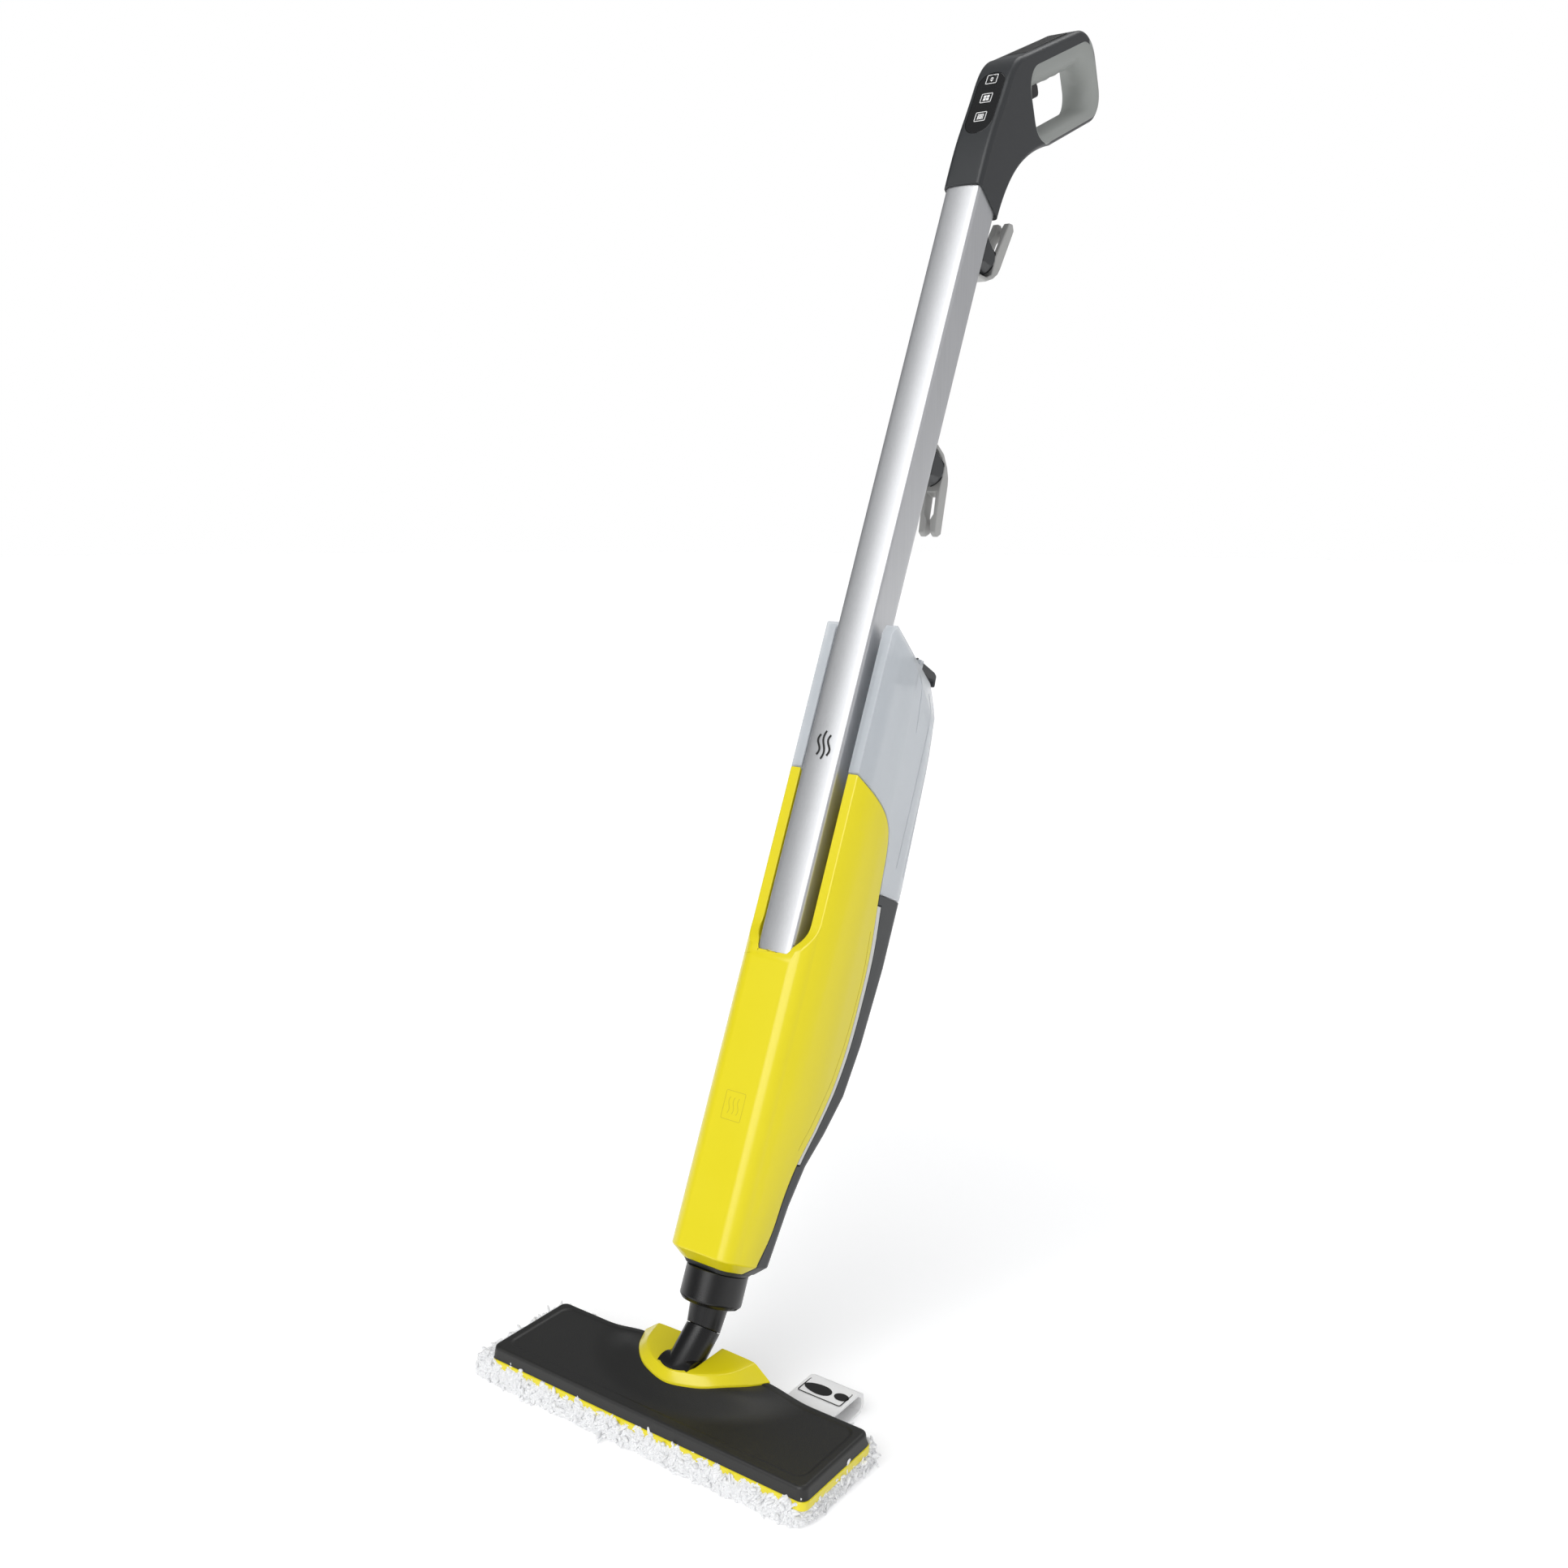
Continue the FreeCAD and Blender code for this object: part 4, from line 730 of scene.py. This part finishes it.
# ------------------------------------------------------------------ neck and coupling
# Two black elbows meet on a slanted seam, so that the body swivels over the head. The upper one
# ends in a sleeve that plugs over the body's spigot and is freed by a button at the back.
neck_black = moulding("black_satin_plastic", tone(16, 16, 17), 0.3, 0.00002, 0.0009)
dark_satin = moulding("dark_grey_satin_plastic", tone(46, 48, 50), 0.42, 0.00004, 0.0007, uneven=0.04)
rubber = moulding("black_rubber", tone(26, 26, 26), 0.75, 0.00004, 0.0012)
eased("neck_lower_elbow", neck_black, angle=40)
eased("neck_upper_elbow", neck_black, bevel=0.0005, angle=40)
eased("coupling_sleeve", neck_black, bevel=0.0007, angle=35)
eased("release_button", dark_satin, bevel=0.0008)
painted("swivel_ring", rubber)
painted("coupling_seal", rubber)

# ------------------------------------------------------------------ body shells
# A long yellow front shell wraps the steam generator and pump, and carries two rails beside the
# tube. A dark shell closes the back, and a pale strip runs down the joint on each side.
BODY_LEAN, BODY_FOOT = 23.76, (0, 7.17 * MM, 31.66 * MM)
body_frame = Matrix.Translation(BODY_FOOT) @ Matrix.Rotation(math.radians(-BODY_LEAN), 4, "X")
rear_dark = moulding("rear_shell_plastic", tone(42, 44, 46), 0.42, 0.00005, 0.0008, uneven=0.04)
trim_light = moulding("pale_trim_plastic", tone(205, 205, 200), 0.35, 0.00001, 0.001, coat=0.2)
eased("front_shell", yellow_gloss, bevel=0.0007, angle=32)
eased("rear_shell", rear_dark, bevel=0.0005, angle=32)
eased("body_base", dark_satin, bevel=0.0007, angle=32)
eased("side_trim_left", trim_light, bevel=0.0003)
eased("side_trim_right", trim_light, bevel=0.0003)
eased("cord_gland", rubber, bevel=0.0006)


def on_face(piece, place, lean=0.0, body="mop_body"):
    """Stands a flat drawing, made in the XY plane, up on the body's front face and fixes it there."""
    upright = Matrix.Rotation(math.radians(90 + lean), 4, "X")
    piece.data.transform(body_frame @ Matrix.Translation(Vector(place)) @ upright)
    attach(piece, body)
    return piece


def ribbon(name, path, width, lift, material, thickness=0.00025):
    """A thin raised stroke of even width along a flat path."""
    left, right = [], []
    for k, point in enumerate(path):
        before, after = Vector(path[max(k - 1, 0)]), Vector(path[min(k + 1, len(path) - 1)])
        side = (after - before).normalized().orthogonal() * (width / 2)
        left.append(tuple(Vector(point) + side))
        right.append(tuple(Vector(point) - side))
    return flat_shape(name, left + right[::-1], lift, material, thickness)


def steam_wave(x, low, high, sway):
    """Path of one rising wisp of steam."""
    return [(x + sway * math.sin(2 * math.pi * k / 16), low + (high - low) * k / 16) for k in range(17)]


def wall_line(name, node, path, side, width, lift, material):
    """A slim moulded line along the finished side wall of a node; path gives (back, up) in mm."""
    host = bpy.data.objects[node + "_finished"].data
    skin = BVHTree.FromPolygons([v.co for v in host.vertices], [f.vertices for f in host.polygons])
    inward, rows = body_frame.to_3x3() @ Vector((-side, 0, 0)), []
    for k, (back, up) in enumerate(path):
        (b0, u0), (b1, u1) = path[max(k - 1, 0)], path[min(k + 1, len(path) - 1)]
        aside = Vector((0, u1 - u0, b0 - b1)).normalized() * (width / 2)
        row = []
        for edge in (-1, 1):
            start = body_frame @ (Vector((side * 90, back, up)) * MM + aside * edge)
            hit = skin.ray_cast(start, inward)[0]
            row += [hit - inward * lift, hit + inward * 0.0002]
        rows += [row[0], row[2], row[3], row[1]]
    faces = [(4 * k + a, 4 * k + (a + 1) % 4, 4 * k + 4 + (a + 1) % 4, 4 * k + 4 + a)
             for k in range(len(path) - 1) for a in range(4)]
    end = len(rows)
    faces += [(3, 2, 1, 0), (end - 4, end - 3, end - 2, end - 1)]
    piece = from_lists(name, rows, faces, material)
    outward(piece)
    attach(piece, body_of[node])


# darker yellow for the emblem's lines and the side grooves: painted groove shade, since these lines are thin
# strips on the face, not cut grooves
groove_shade_yellow = moulding("yellow_painted_groove_shade", tone(200, 184, 30), 0.4, 0.00001, 0.001)
RELIEF = 0.00008
emblem_parts = [frame_shape("emblem_frame", (0, 0), 0.0088, 0.0105, 0.0012, 0.0004, 0, groove_shade_yellow, RELIEF)]
for x in (-0.004, 0, 0.004):
    wisp = steam_wave(x, -0.006, 0.006, 0.0009)
    emblem_parts.append(ribbon("emblem_wave", wisp, 0.0005, 0, groove_shade_yellow, RELIEF))
on_face(joined("front_emblem", emblem_parts), (0, -16.02 * MM, 196 * MM))

# a fine groove runs down each yellow side, just in front of the pale strip; it is drawn as a slim strip in
# darker yellow, a painted groove shade
GROOVE_LOW, GROOVE_HIGH, GROOVE_AHEAD = 176, 352, 4.5
for side, word in ((1, "right"), (-1, "left")):
    strip = [body_frame.inverted() @ v.co * 1000 for v in nodes["side_trim_" + word].data.vertices]
    path = []
    for up in range(GROOVE_LOW, GROOVE_HIGH, 8):
        near = [v.y for v in strip if abs(v.z - up) < 9]
        if near:
            path.append((min(near) - GROOVE_AHEAD, up))
    wall_line("side_groove_" + word, "front_shell", path, side, 0.0005, 0.00012, groove_shade_yellow)

# the works inside the shells keep their plain shapes
painted("steam_generator", metal("cast_aluminium", tone(150, 150, 152), 0.5, (300.0, 300.0, 300.0)))
painted("steam_pipe", metal("pipe_brass", tone(190, 155, 85), 0.3))
painted("control_board", moulding("board_green", tone(20, 92, 48), 0.5, 0.0001, 0.002))
for node in ("heating_coils", "shell_screws", "trigger_pin", "hook_screws", "cap_pin"):
    painted(node, screw_steel)
for node in ("thermostat", "water_pump", "descaling_cartridge", "tank_socket", "suction_hose",
             "pressure_hose", "steam_switch", "tank_valve"):
    painted(node, white_inner)
for node in ("switch_cable", "cap_seal"):
    painted(node, rubber)


# ------------------------------------------------------------------ water tank
# The lift-off tank is a clear grey moulding that wraps the tube from behind. Light gathers in
# its edges, and a dark cap on its sloping crown flips up for filling.
def clear_plastic():
    paint = Paint("clear_grey_plastic", {"Base Color": tone(216, 221, 226), "IOR": 1.45, "Coat Weight": 0.3,
                                         "Coat Roughness": 0.05})
    swirl = paint.noise(30.0, 3.0)
    rim = paint.add("ShaderNodeLayerWeight", None, 0.35, out="Facing")
    paint.to("Roughness", 0.16 + swirl * 0.1)
    paint.to("Alpha", 0.42 + rim * 0.5 + (swirl - 0.5) * 0.06)
    paint.to("Normal", paint.bump(swirl, 0.0004))
    return paint.material


eased("water_tank", clear_plastic(), bevel=0.0006, angle=25)
tank_line = moulding("tank_moulded_line", tone(176, 181, 187), 0.3, 0.00001, 0.001)
# each line from (back, up) at its foot to (back, up) at its top, in mm on the body
TANK_LINES = (((41, 500), (33, 545)), ((57, 396), (57, 536)), ((70, 392), (68, 530)))
for side, word in ((1, "right"), (-1, "left")):
    for number, (foot, top) in enumerate(TANK_LINES):
        path = [Vector(foot).lerp(Vector(top), k / 10) for k in range(11)]
        name = "tank_line_%s_%d" % (word, number + 1)
        wall_line(name, "water_tank", path, side, 0.0006, 0.00015, tank_line)
eased("tank_cap", dark_satin, bevel=0.0012, angle=35)


# ------------------------------------------------------------------ handle tube
# The tube is drawn aluminium with a satin anodised face: fine marks run along it, under a thin
# clear layer. A small mark of rising steam is printed on its front.
def anodised():
    paint = Paint("satin_anodised_aluminium", {"Metallic": 0.85, "Coat Weight": 0.15, "Coat Roughness": 0.2})
    marks = paint.noise(1.0, 3.0, paint.stretched(1500.0, 700.0, 16.0))
    cloud = paint.noise(9.0, 2.0)
    paint.to("Base Color", paint.mix(marks, tone(194, 195, 197), tone(208, 209, 211)))
    paint.to("Roughness", 0.37 + marks * 0.08 + (cloud - 0.5) * 0.05)
    paint.to("Normal", paint.bump(marks, 0.000008))
    return paint.material


TUBE_HALF, TUBE_FRONT, TUBE_REAR, CROWN = 15.75 * MM, -14.7 * MM, 21.0 * MM, 0.9 * MM
TUBE_WALL, TUBE_LOW, TUBE_HIGH = 1.3 * MM, 286 * MM, 962 * MM
FRONT_ROUND, REAR_ROUND = 3.2 * MM, 7.8 * MM


def tube_outline(inset):
    """Section of the tube: a slightly crowned front, tight front corners, wider rear corners."""
    section = []
    half, front, rear = TUBE_HALF - inset, TUBE_FRONT + inset, TUBE_REAR - inset
    # side, way to the hub, face, radius, first and last degree of the arc
    corners = ((-1, 1, front, FRONT_ROUND, 180, 260), (1, 1, front, FRONT_ROUND, 280, 360),
               (1, -1, rear, REAR_ROUND, 0, 90), (-1, -1, rear, REAR_ROUND, 90, 180))
    for side, way, face, radius, first, last in corners:
        shift = CROWN if way > 0 else 0
        hub = Vector((side * (half - radius), face + way * radius + shift))
        section += [hub + Vector((math.cos(t), math.sin(t))) * radius
                    for t in (math.radians(first + (last - first) * k / 8) for k in range(9))]
        if first == 180:
            section += [Vector((x, face + CROWN * (x / (half - radius)) ** 2 * 0.86))
                        for x in ((half - radius) * (k / 9 - 1) for k in range(1, 18))]
    return section


outside, inside = tube_outline(0), tube_outline(TUBE_WALL)
count = len(outside)
tube_points = [Vector((*p, z)) for section in (outside, inside) for z in (TUBE_LOW, TUBE_HIGH)
               for p in section]
tube_faces = []
for k in range(count):
    m = (k + 1) % count
    tube_faces += [(k, m, count + m, count + k), (2 * count + m, 2 * count + k, 3 * count + k, 3 * count + m),
                   (m, k, 2 * count + k, 2 * count + m), (count + k, count + m, 3 * count + m, 3 * count + k)]
tube = from_lists("handle_tube", tube_points, tube_faces, anodised())
tube.data.transform(body_frame)
smoothed(tube, 40, weighted=False)
belongs(tube, "main_tube")
mark_parts = [ribbon("steam_mark", steam_wave(x, -h, h, 0.0016), 0.0016, 0, print_black, 0.0001)
              for x, h in ((-0.0045, 0.008), (0, 0.011), (0.0045, 0.008))]
on_face(joined("tube_steam_mark", mark_parts), (0, -14.86 * MM, 470 * MM))

# ------------------------------------------------------------------ handle
# Two dark mouldings clamp the tube and form the loop, with a grey soft-touch inlay round the hand
# gap, a black pad on top, a trigger inside and a black panel of mode symbols on the front.
handle_dark = moulding("handle_dark_plastic", tone(44, 46, 48), 0.4, 0.00004, 0.0007, uneven=0.04)
inlay_grey = moulding("grey_soft_touch", tone(150, 153, 150), 0.55, 0.00003, 0.0009, uneven=0.03)
panel_black = moulding("panel_black_gloss", tone(22, 22, 23), 0.22, 0.000005, 0.001, coat=0.5)
pad_black = moulding("pad_black_grain", tone(17, 17, 17), 0.6, 0.0003, 0.0016)
icon_white = moulding("symbol_white", tone(235, 235, 235), 0.5, 0.00001, 0.001)
GRIP_RISE = math.radians(46.58)


def in_loop(across_x, along, above):
    """World place of a point given across the body, along the grip and square to it, in mm."""
    back = along * math.cos(GRIP_RISE) - above * math.sin(GRIP_RISE)
    rise = along * math.sin(GRIP_RISE) + above * math.cos(GRIP_RISE)
    return body_frame @ (Vector((across_x, back, rise)) * MM)


def loop_line(low, high, corners, steps):
    """Round-cornered outline in grip coordinates; corners gives the radius at each corner in turn."""
    (u0, n0), (u1, n1) = low, high
    hubs = ((u1, n1, -1, -1, 0), (u0, n1, 1, -1, 90), (u0, n0, 1, 1, 180), (u1, n0, -1, 1, 270))
    line = []
    for (u, n, du, dn, start), radius in zip(hubs, corners):
        for k in range(steps + 1):
            t = math.radians(start + 90 * k / steps)
            line.append((u + du * radius + radius * math.cos(t), n + dn * radius + radius * math.sin(t)))
    return line


shell = eased("handle_shell", handle_dark, angle=32)
shell.data.materials.append(inlay_grey)
alone(shell)
bpy.ops.object.mode_set(mode="EDIT")
bpy.ops.mesh.select_all(action="SELECT")
# the far end of the loop is grey, like the inlay
cut_at, cut_way = in_loop(0, 896, 690), (in_loop(0, 900, 690) - in_loop(0, 899, 690)).normalized()
bpy.ops.mesh.bisect(plane_co=cut_at, plane_no=cut_way)
bpy.ops.object.mode_set(mode="OBJECT")
for face in shell.data.polygons:
    if (face.center - cut_at).dot(cut_way) > 0:
        face.material_index = 1
eased("handle_underside", handle_dark, angle=32)
SPREAD, ROUND, INLAY_HALF = 12, 14, 17.15
BELLY, RIM_RISE = 698.3, 17.7  # upper wall of the hand gap at its middle, and its rise to the rim
rim_line = loop_line((774.6, 654.6), (903.4, BELLY + RIM_RISE), (20, 20, 20, 20), ROUND)
mid_line = loop_line((778.2, 664.0), (892.5, BELLY), (19, 13, 13, 19), ROUND)
inlay_points, loop_count = [], len(rim_line)
for k in range(2 * SPREAD + 1):
    lean = math.radians(90 * (k / SPREAD - 1))
    share = 1 - math.cos(lean)
    for (ru, rn), (mu, mn) in zip(rim_line, mid_line):
        across_x = INLAY_HALF * math.sin(lean)
        inlay_points.append(in_loop(across_x, mu + (ru - mu) * share, mn + (rn - mn) * share))
# on each side the rim turns over, outwards from the middle of the gap
for side in (-16.4, 16.4):
    inlay_points += [in_loop(side, ru + math.copysign(0.8, ru - 840), rn + math.copysign(0.8, rn - 685))
                     for ru, rn in rim_line]
rows = 2 * SPREAD + 1
order = [rows] + list(range(rows)) + [rows + 1]
inlay_faces = []
for a, b in zip(order, order[1:] + order[:1]):
    for k in range(loop_count):
        m = (k + 1) % loop_count
        inlay_faces.append((a * loop_count + k, a * loop_count + m, b * loop_count + m, b * loop_count + k))
inlay = from_lists("grip_inlay_flared", inlay_points, inlay_faces, inlay_grey)
outward(inlay)
smoothed(inlay, 50, weighted=False)
belongs(inlay, "grip_inlay")


def finger_ridge(name, along):
    """A slim raised line across the belly of the grip, where a finger rests."""
    spine = []
    for k in range(17):
        lean = math.radians(-42 + 84 * k / 16)
        share = 1 - math.cos(lean)
        spine.append(in_loop(INLAY_HALF * math.sin(lean), along + 5 * share, BELLY + RIM_RISE * share))
    tall, wide = in_loop(0, 0, 0) - in_loop(0, 0, 0.55), in_loop(0, 0.9, 0) - in_loop(0, 0, 0)
    points = [p + shift for p in spine for shift in (-tall, -wide, tall, wide)]
    faces = [(4 * k + a, 4 * k + (a + 1) % 4, 4 * k + 4 + (a + 1) % 4, 4 * k + 4 + a)
             for k in range(16) for a in range(4)]
    piece = from_lists(name, points, faces + [(3, 2, 1, 0), (64, 65, 66, 67)], inlay_grey)
    smoothed(piece, 60, weighted=False)
    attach(piece, "mop_body")


for number, along in enumerate((829, 846, 863)):
    finger_ridge("finger_ridge_%d" % (number + 1), along)
eased("grip_top_pad", pad_black, bevel=0.0006)
eased("trigger", neck_black, bevel=0.0012)
spring = eased("trigger_spring", screw_steel)
spring_top = in_loop(0, 801, 710.9)
tuple((spring_top - in_loop(0, 801, 701)).normalized())
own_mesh(spring)
eased("display_panel", panel_black, bevel=0.0004)
eased("mode_button", panel_black, bevel=0.0004)
eased("mode_lamps", panel_black, bevel=0.0003)


def symbol(name, strokes, place, body):
    """A white symbol in a round-cornered frame on the panel or its button."""
    frame_line = frame_shape(name + "_frame", (0, 0), 0.0050, 0.0046, 0.0010, 0.0006, 0, icon_white, 0.0001)
    on_face(frame_line, place, lean=-7.0)
    drawn = [flat_shape(name + "_stroke", outline, 0, icon_white, 0.0001) for outline in strokes]
    on_face(joined(name, drawn), place, lean=-7.0, body=body)


def bar(x0, y0, x1, y1):
    return [(x0 * MM, y0 * MM), (x1 * MM, y0 * MM), (x1 * MM, y1 * MM), (x0 * MM, y1 * MM)]


arrow_up = [(-1.6 * MM, 0.5 * MM), (1.6 * MM, 0.5 * MM), (0, 2.4 * MM)]
arrow_down = [(-1.6 * MM, -0.5 * MM), (0, -2.4 * MM), (1.6 * MM, -0.5 * MM)]
tiles = [bar(-2.6, 0.25, -0.25, 2.6), bar(0.25, 0.25, 2.6, 2.6), bar(-2.6, -2.6, -0.25, -0.25),
         bar(0.25, -2.6, 2.6, -0.25)]
boards = [bar(-2.6, -2.6, -1.5, 1.1), bar(-2.6, 1.5, -1.5, 2.6), bar(-1.1, -2.6, 0, -0.4),
          bar(-1.1, 0, 0, 2.6), bar(0.4, -2.6, 1.5, 0.9), bar(0.4, 1.3, 1.5, 2.6), bar(1.9, -2.6, 2.6, 2.6)]
# the steam symbol is on the mode button, the other two light up on the panel
symbol("symbol_steam_level", [arrow_up, arrow_down], (0, -9.8 * MM, 1033 * MM), "mode_button")
symbol("symbol_tiles", tiles, (0, -11.3 * MM, 1015 * MM), "mop_body")
symbol("symbol_boards", boards, (0, -13.2 * MM, 997 * MM), "mop_body")

# ------------------------------------------------------------------ cord hooks
# Two grey clips turn on dark bosses at the back of the tube, each held by one screw. The lead is
# wound round them, and the split tips grip its end.
hook_grey = moulding("hook_grey_plastic", tone(172, 172, 170), 0.45, 0.00002, 0.0009)
for place in ("upper", "lower"):
    eased("hook_boss_" + place, dark_satin, bevel=0.0006)
    eased("hook_" + place, hook_grey, bevel=0.0009)
